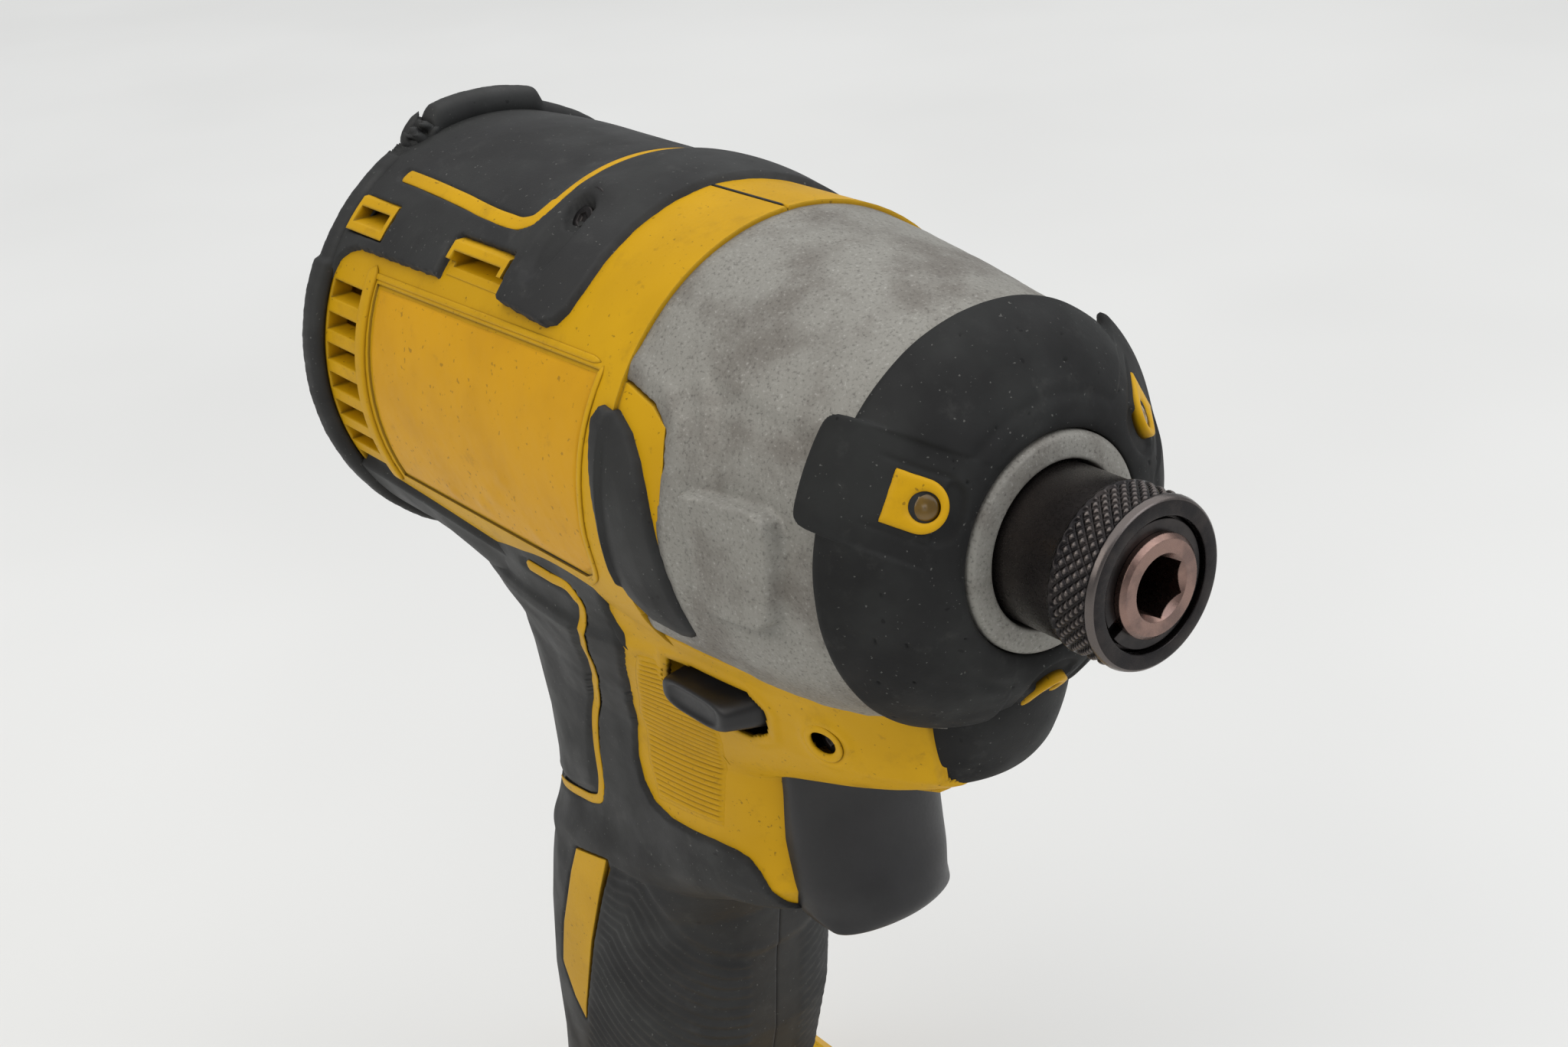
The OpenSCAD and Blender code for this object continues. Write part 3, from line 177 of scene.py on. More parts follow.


# A metal with fine turning or handling marks: colour and gloss vary in small patches, raised tips rub bright, and
# places given a high value get the same pale colour as a painted highlight
def workedMetal(name, base, tint, gloss, grainMm, metallic=1.0, tip=None):
    material, tree, place = newMaterial(name)
    stains = [{"mm": 3.2, "low": 0.38, "high": 0.66, "amount": 1.0, "hex": tint, "detail": 5.0, "rough": 0.6}]
    colour = layStains(tree, place, base, stains)
    if tip:
        height = addNode(tree, "Attribute", attribute_name="tip").outputs["Fac"]
        colour = layOver(tree, colour, height, 0.55, 1.0, 0.85, tip)
    grain = addNode(tree, "TexNoise", {"Vector": place, "Scale": 1 / (grainMm * mm), "Detail": 2.0})
    edge = addNode(tree, "Bevel", {"Radius": 0.15 * mm}, samples=4)
    polish = {"Value": grain, "To Min": gloss - 0.06, "To Max": gloss + 0.12}
    return closeFinish(material, tree, colour, edge, grain, (0.12, 0.04), polish, {"Metallic": metallic})


# A plain moulding or laminate: slight mottling and a fine grain
def plainMoulding(name, base, tint, gloss, grainMm, ior=1.5):
    material, tree, place = newMaterial(name)
    stains = [{"mm": 7, "low": 0.4, "high": 0.66, "amount": 1.0, "hex": tint, "detail": 4.0}]
    colour = layStains(tree, place, base, stains)
    grain = addNode(tree, "TexNoise", {"Vector": place, "Scale": 1 / (grainMm * mm), "Detail": 2.0})
    edge = addNode(tree, "Bevel", {"Radius": 0.4 * mm}, samples=4)
    polish = {"Value": grain, "To Min": gloss, "To Max": gloss + 0.14}
    return closeFinish(material, tree, colour, edge, grain, (0.16, 0.05), polish, {"IOR": ior})


finishes = {
    "yellow_nylon": mouldedNylon("mouldedNylonAmber", nylon),
    "black_elastomer": mouldedElastomer("mouldedElastomerCharcoal", elastomer, (0.55, 0.75)),
    "cast_alloy": blastedCasting("castAluminiumBlasted", casting),
    "clear_lens": plainMoulding("mouldedPolycarbonateLens", "#6e5314", "#4f3a0c", 0.1, 1.5, 1.58),
    "hard_steel": workedMetal("hardenedSteelGround", "#8c7269", "#74605a", 0.26, 0.3),
    "black_steel": workedMetal("steelBlackOxide", "#2a2828", "#3a3635", 0.3, 0.35, 0.85),
    "spring_steel": workedMetal("springWireDrawn", "#77736e", "#5f5c58", 0.3, 0.25),
    "bronze": workedMetal("bronzeSintered", "#a07a44", "#7d5d35", 0.38, 0.3),
    "laminations": workedMetal("sheetSteelStacked", "#4c4c50", "#3b3b3e", 0.42, 0.5),
    "copper": workedMetal("copperWireEnamelled", "#a8552a", "#7d3c1e", 0.3, 0.4),
    "black_plastic": plainMoulding("mouldedNylonBlack", "#242325", "#2f2e31", 0.42, 0.4, 1.53),
    "circuit_board": plainMoulding("glassEpoxyBoard", "#1f5a38", "#17472c", 0.34, 0.6),
}


# Shared by all the solids: doubles merged, faces smooth, edges sharp above an angle
def smoothSkin(angle):
    group = bpy.data.node_groups.new("smoothSkin", "GeometryNodeTree")
    for way in ("INPUT", "OUTPUT"):
        group.interface.new_socket("Geometry", in_out=way, socket_type="NodeSocketGeometry")
    given = addNode(group, "NodeGroupInput")
    joined = addNode(group, "GeometryNodeMergeByDistance", {"Geometry": given, "Distance": 0.002 * mm})
    bare = addNode(group, "GeometryNodeRemoveAttribute", {"Geometry": joined, "Name": "custom_normal"})
    rounded = addNode(group, "GeometryNodeSetShadeSmooth", {"Geometry": bare, "Shade Smooth": True}, domain="FACE")
    bend = addNode(group, "GeometryNodeInputMeshEdgeAngle")
    flatter = addNode(group, "FunctionNodeCompare", {0: bend, 1: np.radians(angle)}, operation="LESS_THAN")
    creased = addNode(group, "GeometryNodeSetShadeSmooth", {"Geometry": rounded, "Shade Smooth": flatter},
                      domain="EDGE")
    addNode(group, "NodeGroupOutput", {"Geometry": creased})
    return group


noseRubber = mouldedElastomer("mouldedElastomerNose", noseElastomer, (0.6, 0.8))
sharpAbove = 28  # degrees
solidSkin = smoothSkin(sharpAbove)
slotOf = {part["node"]: part["material_slot"] for part in frame["record"]["subparts"]}
for nodeName, node in frame["nodes"].items():
    node.data.materials.clear()
    node.data.materials.append(finishes[slotOf[nodeName]])
    node.modifiers.new("smoothSkin", "NODES").node_group = solidSkin


# Quads over a grid of points in mm, or over several grids; rows and columns may close on themselves, keep names the
# faces that stay, fields become attributes
def gridSurface(name, points, wrapRows=False, wrapCols=False, keep=None, fields=None):
    copies, rows, cols = points.shape[:3] if points.ndim == 4 else (1, *points.shape[:2])
    index = np.arange(copies * rows * cols).reshape(copies, rows, cols)
    here, down = (index, np.roll(index, -1, 1)) if wrapRows else (index[:, :-1], index[:, 1:])
    if wrapCols:
        quads = np.stack([here, np.roll(here, -1, 2), np.roll(down, -1, 2), down], -1)
    else:
        quads = np.stack([here[..., :-1], here[..., 1:], down[..., 1:], down[..., :-1]], -1)
    if keep is not None:
        quads = quads[:, keep[:quads.shape[1], :quads.shape[2]]]
    used, flat = np.unique(quads.reshape(-1, 4), return_inverse=True)
    mesh = bpy.data.meshes.new(name)
    mesh.from_pydata((points.reshape(-1, 3)[used] * mm).tolist(), [], flat.reshape(-1, 4).tolist())
    for key, values in (fields or {}).items():
        field = mesh.attributes.new(key, "FLOAT", "POINT")
        field.data.foreach_set("value", values.reshape(-1)[used].astype(np.float32))
    mesh.shade_smooth()
    piece = bpy.data.objects.new(name, mesh)
    bpy.context.scene.collection.objects.link(piece)
    return piece


# A piece's finish (the given material, or the one of its slot), its body and the nodes that it replaces; wall in mm
# thickens a sheet inwards
def finishPiece(piece, slot, body="tool_body", nodes=(), material=None, wall=0.0):
    if wall:
        shell = piece.modifiers.new("wall", "SOLIDIFY")
        shell.thickness, shell.offset = wall * mm, -1.0
    piece.data.materials.append(material or finishes[slot])
    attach(piece, body)
    if nodes:
        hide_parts(*nodes)
    return piece


def aroundAxis(x, r, angle):  # points at radius r round the tool's axis, angle from the top towards the right side
    x, r, angle = np.broadcast_arrays(x, r, angle)
    return np.stack([x, -r * np.sin(angle), r * np.cos(angle)], -1)


def fullTurn(count):  # even angles once round, as one row
    return np.linspace(0, 2 * np.pi, count, endpoint=False)[None]


def unit(way):  # each direction divided by its length
    return way / np.linalg.norm(way, axis=-1, keepdims=True)


def superRound(turn, power):  # the two ways of a superellipse of size one: |c|^power + |s|^power = 1
    c, s = np.cos(turn), np.sin(turn)
    swell = (np.abs(c) ** power + np.abs(s) ** power) ** (-1 / power)
    return swell * c, swell * s


def mirrored(points):  # the left side's twin of a right side grid
    return points[:, ::-1] * np.array([1, -1, 1])


def sideGrid(side, points, keep):  # a right side grid and the faces that stay, or their left side twins
    return (points, keep) if side < 0 else (mirrored(points), keep[:, ::-1])


def smoothStep(t):  # 3t² - 2t³ between 0 and 1
    t = np.clip(t, 0, 1)
    return t * t * (3 - 2 * t)


def between(t, ends, rise, fall):  # 1 between two ends, a smooth step up over rise and down over fall
    return smoothStep((t - ends[0]) / rise) * smoothStep((ends[1] - t) / fall)


def ridge(gap, width):  # bell curve of a distance
    return np.exp(-(gap / width) ** 2)


def wobble(u, seed):  # a fixed uneven wave between about -1 and 1: four sines of rising pitch
    pitch = np.array([1.0, 2.3, 4.1, 7.7])
    return (np.sin(np.asarray(u)[..., None] * pitch + seed * np.array([1.3, 2.9, 0.7, 4.2])) / pitch ** 0.7).sum(-1) / 2


def smoothLine(points, count):  # cubic through the points, at even steps of chord length
    p = np.asarray(points, float)
    chord = np.concatenate([[0], np.cumsum(np.linalg.norm(np.diff(p, axis=0), axis=1))])
    slope = np.gradient(p, chord, axis=0)
    t = np.linspace(0, chord[-1], count)
    i = np.clip(np.searchsorted(chord, t, side="right") - 1, 0, len(p) - 2)
    h = (chord[i + 1] - chord[i])[:, None]
    f = (t - chord[i])[:, None] / h
    return ((2 * f ** 3 - 3 * f ** 2 + 1) * p[i] + (f ** 3 - 2 * f ** 2 + f) * h * slope[i]
            + (3 * f ** 2 - 2 * f ** 3) * p[i + 1] + (f ** 3 - f ** 2) * h * slope[i + 1])


def softCorners(points, reach):  # closed outline whose corners become three points, reach mm along both sides
    p = np.asarray(points, float)
    back, ahead = np.roll(p, 1, 0) - p, np.roll(p, -1, 0) - p
    sides = [way * np.minimum(reach / np.linalg.norm(way, axis=1), 0.4)[:, None] for way in (back, ahead)]
    return np.stack([p + sides[0], p + (sides[0] + sides[1]) / 4, p + sides[1]], 1).reshape(-1, p.shape[1])


def lineGap(u, v, path, closed=False):  # distance from each (u, v) to a line of points
    a = np.asarray(path, float)
    a, b = (a, np.roll(a, -1, 0)) if closed else (a[:-1], a[1:])
    gap = np.full(np.shape(u), np.inf)
    for start, end in zip(a, b):
        run = end - start
        f = np.clip(((u - start[0]) * run[0] + (v - start[1]) * run[1]) / (run @ run), 0, 1)
        gap = np.minimum(gap, np.hypot(u - start[0] - f * run[0], v - start[1] - f * run[1]))
    return gap


def edgeGap(u, v, outline):  # signed distance to a closed outline, positive inside
    a = np.asarray(outline, float)
    inside = np.zeros(np.shape(u), bool)
    for start, end in zip(a, np.roll(a, -1, 0)):
        crosses = (start[1] > v) != (end[1] > v)
        rise = end[1] - start[1] if end[1] != start[1] else 1.0
        inside ^= crosses & (u < start[0] + (v - start[1]) / rise * (end[0] - start[0]))
    gap = lineGap(u, v, outline, closed=True)
    return np.where(inside, gap, -gap)


# Half-round bead: an arch of width and height, of square-root sides, carried along a path and rounded at its ends
def sweptStrip(name, path, facing, width, height, sides=9):
    across = unit(np.cross(unit(np.gradient(path, axis=0)), facing))
    step = np.arange(len(path))
    taper = np.sqrt(np.clip(1 - (1 - smoothStep(np.minimum(step, step[::-1]) / 3.0)) ** 2, 0, 1))[:, None]
    c, s = np.cos(fullTurn(2 * sides)), np.sin(fullTurn(2 * sides))
    side, rise = np.sign(c) * np.abs(c) ** 0.5, np.where(s > 0, np.abs(s) ** 0.5, s)
    wide = np.broadcast_to(width, len(path))[:, None]
    ring = (path[:, None] + (taper * side * wide / 2)[..., None] * across[:, None]
            + (taper * rise * height)[..., None] * facing[:, None])
    return gridSurface(name, ring, wrapCols=True)


print("stage: set and camera")
cameraPlace = {
    "at": (134.2, -146.2, 102.4), "azimuth": 53.89, "elevation": 25.05, "roll": -5.21, "focalPx": 2723.85,
    "widthPx": 2048, "sensorMm": 36.0, "clip": (0.01, 20)}
studio = {
    "floorZ": -165.0, "half": 6000.0, "paper": "#dfdfdd", "paperShade": "#d8d8d6", "sky": "#eff1f4", "skyLight": 0.4}


def studioPaper(tone):  # matt seamless paper, a faint unevenness
    material, tree, place = newMaterial("seamlessPaperMatt")
    clouds = [{"mm": 420, "low": 0.3, "high": 0.7, "amount": 1.0, "hex": tone["paperShade"]}]
    colour = layStains(tree, place, tone["paper"], clouds)
    shader = addNode(tree, "BsdfPrincipled", {"Base Color": colour, "Roughness": 0.9, "Specular IOR Level": 0.1})
    addNode(tree, "OutputMaterial", {"Surface": shader})
    return material


def buildStudio(s):  # plain level floor, one sheet
    reach = np.linspace(-s["half"], s["half"], 9)
    points = np.stack(np.broadcast_arrays(reach[None], reach[:, None], s["floorZ"]), -1)
    sheet = gridSurface("studioFloor", points)
    sheet.data.materials.append(studioPaper(s))


def standAt(name, data, right, up, back, at):  # a lamp or camera with these three axes at a place in mm
    place = np.eye(4)
    place[:3] = np.stack([right, up, back, np.array(at) * mm], 1)
    holder = bpy.data.objects.new(name, data)
    bpy.context.scene.collection.objects.link(holder)
    holder.matrix_world = Matrix(place.tolist())
    return holder


def softLamp(name, kind, at, target, size, power, tint):  # a broad sun or a soft box, from a place towards a target
    lamp = bpy.data.lights.new(name, kind)
    if kind == "SUN":
        lamp.angle = np.radians(size)
    else:
        lamp.shape, lamp.size, lamp.size_y = "RECTANGLE", size[0] * mm, size[1] * mm
    lamp.energy, lamp.color = power, hexLinear(tint)[:3]
    back = unit(np.subtract(at, target))
    right = unit(np.cross([0, 0, 1], back))
    standAt(name, lamp, right, np.cross(back, right), back, at)


def placeCamera(c):  # axes from azimuth and elevation, turned by the roll round the line of sight
    az, el, roll = np.radians([c["azimuth"], c["elevation"], c["roll"]])
    right = np.array([np.cos(az), np.sin(az), 0])
    up = np.array([-np.sin(az) * np.sin(el), np.cos(az) * np.sin(el), np.cos(el)])
    back = np.array([np.sin(az) * np.cos(el), -np.cos(az) * np.cos(el), np.sin(el)])
    lens = bpy.data.cameras.new("camera")
    lens.sensor_fit, lens.sensor_width = "HORIZONTAL", c["sensorMm"]
    lens.lens = c["sensorMm"] * c["focalPx"] / c["widthPx"]
    lens.clip_start, lens.clip_end = c["clip"]
    across, over = right * np.cos(roll) + up * np.sin(roll), up * np.cos(roll) - right * np.sin(roll)
    bpy.context.scene.camera = standAt("camera", lens, across, over, back, c["at"])


buildStudio(studio)
lamps = [("skyDome", "SUN", (40, 200, 700), (-60, 0, -20), 100, 2.25, "#ffffff"),
         ("sideFill", "AREA", (-80, -520, 400), (-70, 0, -10), (500, 400), 1.35, "#fffaf4"),
         ("rightFill", "AREA", (520, 260, 300), (-40, 0, 0), (400, 400), 1.0, "#f6f8ff")]
for lamp in lamps:
    softLamp(*lamp)
world = bpy.data.worlds.new("paleRoom")
world.use_nodes = True
sky = world.node_tree.nodes["Background"].inputs
sky["Color"].default_value, sky["Strength"].default_value = hexLinear(studio["sky"]), studio["skyLight"]
bpy.context.scene.world = world
bpy.context.scene.view_settings.view_transform = "Standard"
placeCamera(cameraPlace)


print("stage: chuck sleeve")
# Chuck sleeve: a closed outline of (radius, place along the axis) turned round the axis; where it is knurled, two
# families of helical grooves leave a field of diamonds, its height the lower of two triangle waves
sleeveForm = {
    "tips": 42, "pitchMm": 1.5, "depth": 0.42, "flat": 0.7, "rows": 60, "cols": 504, "corner": 0.12,
    "knurl": (-6.9, -1.6),
    "outline": [(9.95, -1.55), (9.75, -0.95), (9.5, -0.75), (7.75, -0.72), (7.7, -1.6), (8.0, -1.9), (8.0, -12.7),
        (6.05, -12.7), (6.05, -19.2), (9.2, -19.2), (9.5, -18.9), (9.5, -7.5), (9.9, -7.2), (10.0, -6.9)]}


def knurledSleeve(s):
    corners = softCorners(s["outline"], s["corner"])
    grip = np.linspace(corners[-1], corners[0], s["rows"] + 2)[1:-1]
    line = np.concatenate([corners, grip])
    r, x = line[:, :1], line[:, 1:]
    angle = fullTurn(s["cols"])
    turns, steps = angle * s["tips"] / (2 * np.pi), x / s["pitchMm"]
    tooth = np.minimum(*(1 - np.abs(2 * np.mod(way, 1) - 1) for way in (turns + steps, turns - steps)))
    height = np.minimum(tooth / s["flat"], 1)
    cut = (r > 9.9) * between(x, s["knurl"], 0.5, 0.4)
    # Away from the knurl the same field lightens the front bevel, and the rear band a little, as a painted highlight
    bare = 0.2 + 0.75 * (x > -1.9) * (r > 9.45) + 0.5 * (x < -7) * (r > 9.3)
    tips = np.where(cut > 0, height * cut, bare)
    points = aroundAxis(x, r - s["depth"] * cut * (1 - height), angle)
    piece = gridSurface("knurledSleeve", points, True, True, fields={"tip": tips})
    oxide = workedMetal("steelBlackOxideKnurled", "#242223", "#332f2e", 0.26, 0.35, 0.9, tip="#6d6663")
    return finishPiece(piece, "black_steel", "sleeve", ["sleeve"], oxide)


knurledSleeve(sleeveForm)


print("stage: nose boot")
# Boot over the nose of the case: a lip-to-edge outline turned round the axis, which runs over into a taller, longer
# outline at three lugs; each corner lists (radius, along) of the boot and of the lug
bootForm = {
    "corners": [(24.2, -26.9, 24.9, -29.4), (25.5, -26.95, 27.0, -29.4), (25.75, -26.5, 27.4, -28.9),
        (25.4, -25.0, 27.4, -26.6), (24.5, -23.1, 26.3, -25.0), (23.0, -20.9, 24.3, -22.9),
        (21.0, -18.9, 21.8, -20.3), (19.0, -17.4, 19.9, -18.5), (17.0, -16.4, 18.0, -17.0),
        (15.2, -15.85, 16.0, -16.1), (13.9, -15.75, 14.2, -15.8), (13.3, -16.1, 13.3, -16.1),
        (13.2, -17.2, 13.2, -17.2)],
    "lugs": (60, 180, 300), "lugHalf": 6.25, "lugEdge": 0.9, "seamAt": 3.6, "cornerR": 2.4, "cornerAt": 2.2,
    "rows": 96, "cols": 640, "wall": 0.6}


def noseBoot(b):
    line = smoothLine(b["corners"], b["rows"])[:, None]
    angle = fullTurn(b["cols"])
    sway = np.stack([np.mod(angle - np.radians(lug) + np.pi, 2 * np.pi) - np.pi for lug in b["lugs"]])
    sway = np.take_along_axis(sway, np.abs(sway).argmin(0)[None], 0)[0]
    across = np.abs(line[..., 0] * np.sin(sway)) + 99 * (np.abs(sway) > 1)
    way = np.cumsum(np.linalg.norm(np.diff(line[:, 0, 2:], axis=0, prepend=line[:1, 0, 2:]), axis=1))[:, None]
    trim = b["cornerR"] - np.sqrt(b["cornerR"] ** 2 - np.clip(b["cornerR"] + b["cornerAt"] - way, 0, b["cornerR"]) ** 2)
    lug = smoothStep((b["lugHalf"] - trim - across) / b["lugEdge"] + 0.5)
    r, x = (line[..., i] + (line[..., i + 2] - line[..., i]) * lug for i in (0, 1))
    dr, dx = np.gradient(r, axis=0), np.gradient(x, axis=0)
    size = np.hypot(dr, dx)
    crease = 0.22 * ridge(across - b["seamAt"], 0.25) * between(r, (17.5, 24.5), 0.8, 1.5)
    bowl = 0.55 * smoothStep((3.7 - np.hypot(across, (r - 17.6) * 1.4)) / 0.8) * smoothStep((18.4 - r) / 0.6)
    hollow = 0.22 * ridge(r - 17.2, 0.7) * (1 - lug) + 0.1 * wobble(angle * 3 + r * 0.35, 2.0) * (1 - lug)
    nick = 0.3 * smoothStep((wobble(angle * 21 + r * 0.6, 5.0) + wobble(r * 2.3 - angle * 9, 2.0) - 1.55) / 0.25)
    sink = crease + (bowl + hollow + nick) * smoothStep((r - 14.2) / 1.2)
    piece = gridSurface("noseBoot", aroundAxis(x + sink * dr / size, r - sink * dx / size, angle), wrapCols=True)
    return finishPiece(piece, "black_elastomer", nodes=["nose_boot"], material=noseRubber, wall=b["wall"])


noseBoot(bootForm)

# Lamp tabs: three plates laid on the cone of the lugs, each a ring from its hole out to an outline with one round end;
# a lens with a low dome sits in each hole. Rows list (share of the way out, height over the cone)
tabForm = {
    "lugs": (60, 180, 300), "middle": (19.2, -18.1), "hole": 1.7, "half": 3.0, "end": 4.2, "roundAt": 0.4,
    "cols": 120,
    "rows": [(0, -0.9), (0, 0.2), (0.05, 0.42), (0.3, 0.5), (0.7, 0.5), (0.94, 0.42), (1, 0.25), (1, -0.9)],
    "lens": [(1.62, -0.9), (1.62, 0.0), (1.4, 0.14), (0.9, 0.28), (0.45, 0.34), (0.0, 0.36)]}


# Plate coordinates to the tool's: out and turn run in the cone at 45 degrees, high along its normal
def onLug(f, out, turn, high):
    lug = np.radians(np.array(f["lugs"]))[:, None, None]
    along, aside = out * np.cos(turn), out * np.sin(turn)
    r = f["middle"][0] + (along + high) * np.sqrt(0.5)
    x = f["middle"][1] + (high - along) * np.sqrt(0.5)
    flat = aroundAxis(x, r, lug)
    return flat + aside[..., None] * np.stack(np.broadcast_arrays(0 * lug, -np.cos(lug), -np.sin(lug)), -1)


def lampTabs(f):
    turn = fullTurn(f["cols"])
    c, s = np.cos(turn), np.sin(turn)
    edge = np.minimum(f["half"] / np.maximum(np.abs(s), 0.01), f["end"] / np.maximum(c, 0.01))
    arc = f["roundAt"] * c + np.sqrt(f["half"] ** 2 - (f["roundAt"] * s) ** 2)
    edge = np.where(edge * c < f["roundAt"], arc, edge) * (1 + 0.012 * wobble(turn * 5, 2.0) * (c > 0.5))
    share, high = np.array(f["rows"]).T[..., None]
    plate = onLug(f, f["hole"] + (edge - f["hole"]) * share, turn, high - 0.04 * np.cos(2 * turn))
    finishPiece(gridSurface("lampTabs", plate, True, True), "yellow_nylon", nodes=["lamp_carrier"])
    out, high = np.array(f["lens"]).T[..., None]
    dome = onLug(f, out, turn[:, ::4], high + 0 * turn[:, ::4])
    finishPiece(gridSurface("lampLenses", dome, wrapCols=True), "clear_lens", nodes=["lamp_lenses"], wall=0.3)


lampTabs(tabForm)

# Chin pad of the boot: rows from the top down, each (height, front, radius of its round plan), closed below
chinForm = {
    "rows": [(-18, -18.4, 11.5), (-21, -18.8, 11.8), (-24, -19.6, 12.2), (-27, -20.8, 12.8), (-29.4, -22, 13.6),
        (-31.2, -23, 14), (-32.8, -24.2, 12.8), (-33.5, -25.8, 9.8), (-33.7, -28.2, 6.2)],
    "spread": 88, "cols": 110}


def chinPad(c):
    z, front, r = smoothLine(c["rows"], 60).T[..., None]
    turn = np.radians(np.linspace(-c["spread"], c["spread"], c["cols"]))[None]
    points = np.stack(np.broadcast_arrays(front - r + r * np.cos(turn), -r * np.sin(turn), z), -1)
    return finishPiece(gridSurface("chinPad", points), "black_elastomer", material=noseRubber, wall=1.0)


chinPad(chinForm)


print("stage: hammer case")
# Cast case: a closed outline turned round the axis; side view outlines press a flat, a pad and the notch for the
# housing's tab into its wall, a rib runs along the notch, and a skirt swells below
caseForm = {
    "rear": -60.4, "front": -24.4, "rows": 110, "cols": 540, "curve": (-26.9, 32.75, 25.15, 5.05, 0.33),
    "nose": [(22.6, -22.9), (19.5, -20.4), (13.4, -18.0), (13.05, -17.4), (13.0, -16.0), (12.5, -15.5), (10.1, -15.3),
        (9.9, -15.5), (9.9, -26.0), (20.0, -34.0), (23.2, -46.0), (23.2, -60.0), (28.0, -60.4)],
    "skirt": [(-60, 0), (-52, 0.4), (-43, 1.0), (-36, 1.2), (-31, 0.8), (-28.4, 0.2), (-25.5, 0)],
    "flat": [(-47.4, 18.4), (-44.8, 13.4), (-43.4, 7.6), (-46.6, 0.0), (-46.2, -8.6), (-34, -9.2), (-25, -8.8),
        (-25, 15)],
    "pad": [(-45.8, 6.9), (-34.4, 7.2), (-32.8, 6.4), (-32.0, 4.8), (-33.2, -5.4), (-34.6, -6.8), (-45.6, -7.4)],
    "notch": [(-66, 16.4), (-59.2, 16.1), (-54, 14.6), (-51.3, 12.4), (-50.6, 9), (-50.9, 4.7), (-51.6, 0.5),
        (-51.4, -2.3), (-50.6, -9.3), (-50.2, -13.6), (-66, -15)]}


def caseRadius(x):  # quick rise behind the boot, levelling out at the seam: a parabola of the way back
    start, length, r, rise, bend = caseForm["curve"]
    t = np.clip((start - x) / length, 0, None)
    return r + rise * ((1 + bend) * t - bend * t * t)


def castCase(c):
    x = np.linspace(c["rear"], c["front"], c["rows"])[:, None]
    angle = fullTurn(c["cols"])
    skirt = smoothStep((180 - np.abs(np.degrees(angle) - 180) - 100) / 22)
    r = caseRadius(x) + skirt * np.interp(x, *np.array(c["skirt"]).T) - 2.5 * smoothStep((x + 26.4) / 1.6) * (1 - skirt)
    along, high = np.broadcast_arrays(x, r * np.cos(angle))
    onSide = smoothStep((np.abs(np.sin(angle)) - 0.3) / 0.1)
    notch = edgeGap(along, high, c["notch"])
    plane = 1.2 + 0.05 * (along + 46) + 0.02 * high ** 2
    pressed = (plane * smoothStep(edgeGap(along, high, c["pad"]) / 0.7 + 0.5)
               - 0.5 * smoothStep(edgeGap(along, high, c["flat"]) / 2.2 + 0.4)
               - 1.9 * smoothStep(notch / 0.5 + 0.5) + 0.4 * ridge(notch + 1.9, 1.2))
    rough = 0.05 * wobble(along * 0.5 + 4 * np.sin(angle * 3), 1.0)
    outer = aroundAxis(x, r + onSide * pressed + rough, angle)
    nose = softCorners(c["nose"], 0.15)
    points = np.concatenate([outer, aroundAxis(nose[:, 1:], nose[:, :1], angle)])
    return finishPiece(gridSurface("castCase", points, True, True), "cast_alloy", nodes=["hammer_case"])


castCase(caseForm)


print("stage: bumpers")
# Side bumper: radius over the case and barrel plus a crowned height inside the side view outline, sunk outside it
barrelR, seamX = 30.8, -59.65
sides = ((-1, "right"), (1, "left"))
bumperForm = {
    "outline": [(-62.7, 11.6), (-61.5, 13.3), (-59.1, 13), (-56.2, 11.1), (-54.1, 8.3), (-52.7, 5.1), (-51.8, 1.7),
        (-51.1, -2.3), (-50.2, -9.3), (-49.2, -12.9), (-50.3, -14), (-52.4, -14.4), (-57, -13.4), (-59.5, -10.4),
        (-60.5, -6.5), (-60.6, -0.2), (-61.8, 6.1)],
    "x": (-64.5, -46.5), "angle": (58, 122), "step": 0.28, "low": 0.75, "crown": 0.75, "wall": 0.8}


def sideBumper(name, node, side, b):
    x = np.arange(*b["x"], b["step"])[:, None]
    angle = np.radians(np.arange(*b["angle"], b["step"] * 1.8))[None]
    base = np.where(x > seamX, caseRadius(x), barrelR) + 0 * angle
    along, high = np.broadcast_arrays(x, base * np.cos(angle))
    gap = edgeGap(along, high, b["outline"])
    tall = -1.2 + (1.2 + b["low"]) * smoothStep(gap / 0.8 + 0.6) + b["crown"] * np.sqrt(np.clip(gap / 3.2, 0, 1))
    points, keep = sideGrid(side, aroundAxis(x, base + tall, angle), gap > -1.0)
    return finishPiece(gridSurface(name, points, keep=keep), "black_elastomer", nodes=[node], wall=b["wall"])


for side, word in sides:
    sideBumper(word + "SideBumper", word + "_bumper", side, bumperForm)


print("stage: motor cover")
# Overmould over the motor: its outer radius along the axis, raised inside an outline in (along, arc from the top) and
# sunk into the barrel outside it; a stripe groove, a screw dish and a window hole are pressed into the same field
coverForm = {
    "rise": [(-140, 0.75), (-130, 0.8), (-125, 1.1), (-119, 1.3), (-110, 1.2), (-100, 1.1), (-93.4, 1.1),
        (-91.2, 1.25), (-88.5, 1.75), (-84.5, 1.95), (-80, 1.7), (-76.5, 1.2), (-72, 0.5)],
    "outline": [(-145, -4), (-75.0, -4), (-74.5, 8), (-74.2, 18), (-74.1, 24), (-74.6, 27), (-75.9, 29),
        (-77.8, 29.7), (-80, 29.6), (-88.7, 28.9), (-88.9, 23.2), (-89.4, 22.6), (-103.6, 22.6), (-104.2, 23.2),
        (-104.6, 29.0), (-126, 29.4), (-128.6, 30.2), (-130.4, 32), (-131.2, 35), (-145, 35)],
    "window": [(-120.4, 21.9), (-130.6, 21.9), (-130.6, 27.4), (-120.4, 27.4)],
    "stripe": [(-126, 17.1), (-110, 17.8), (-97, 18.5), (-93.4, 18.3), (-91.4, 17.2), (-90.7, 15.2), (-90.7, 11.6),
        (-91, 8.3), (-91.3, 4), (-91.4, 0)],
    "screw": (-84.0, 14.6), "arcR": 31.8, "x": (-132.4, -73.2), "arc": 35.0, "step": 0.34, "wall": 0.5}


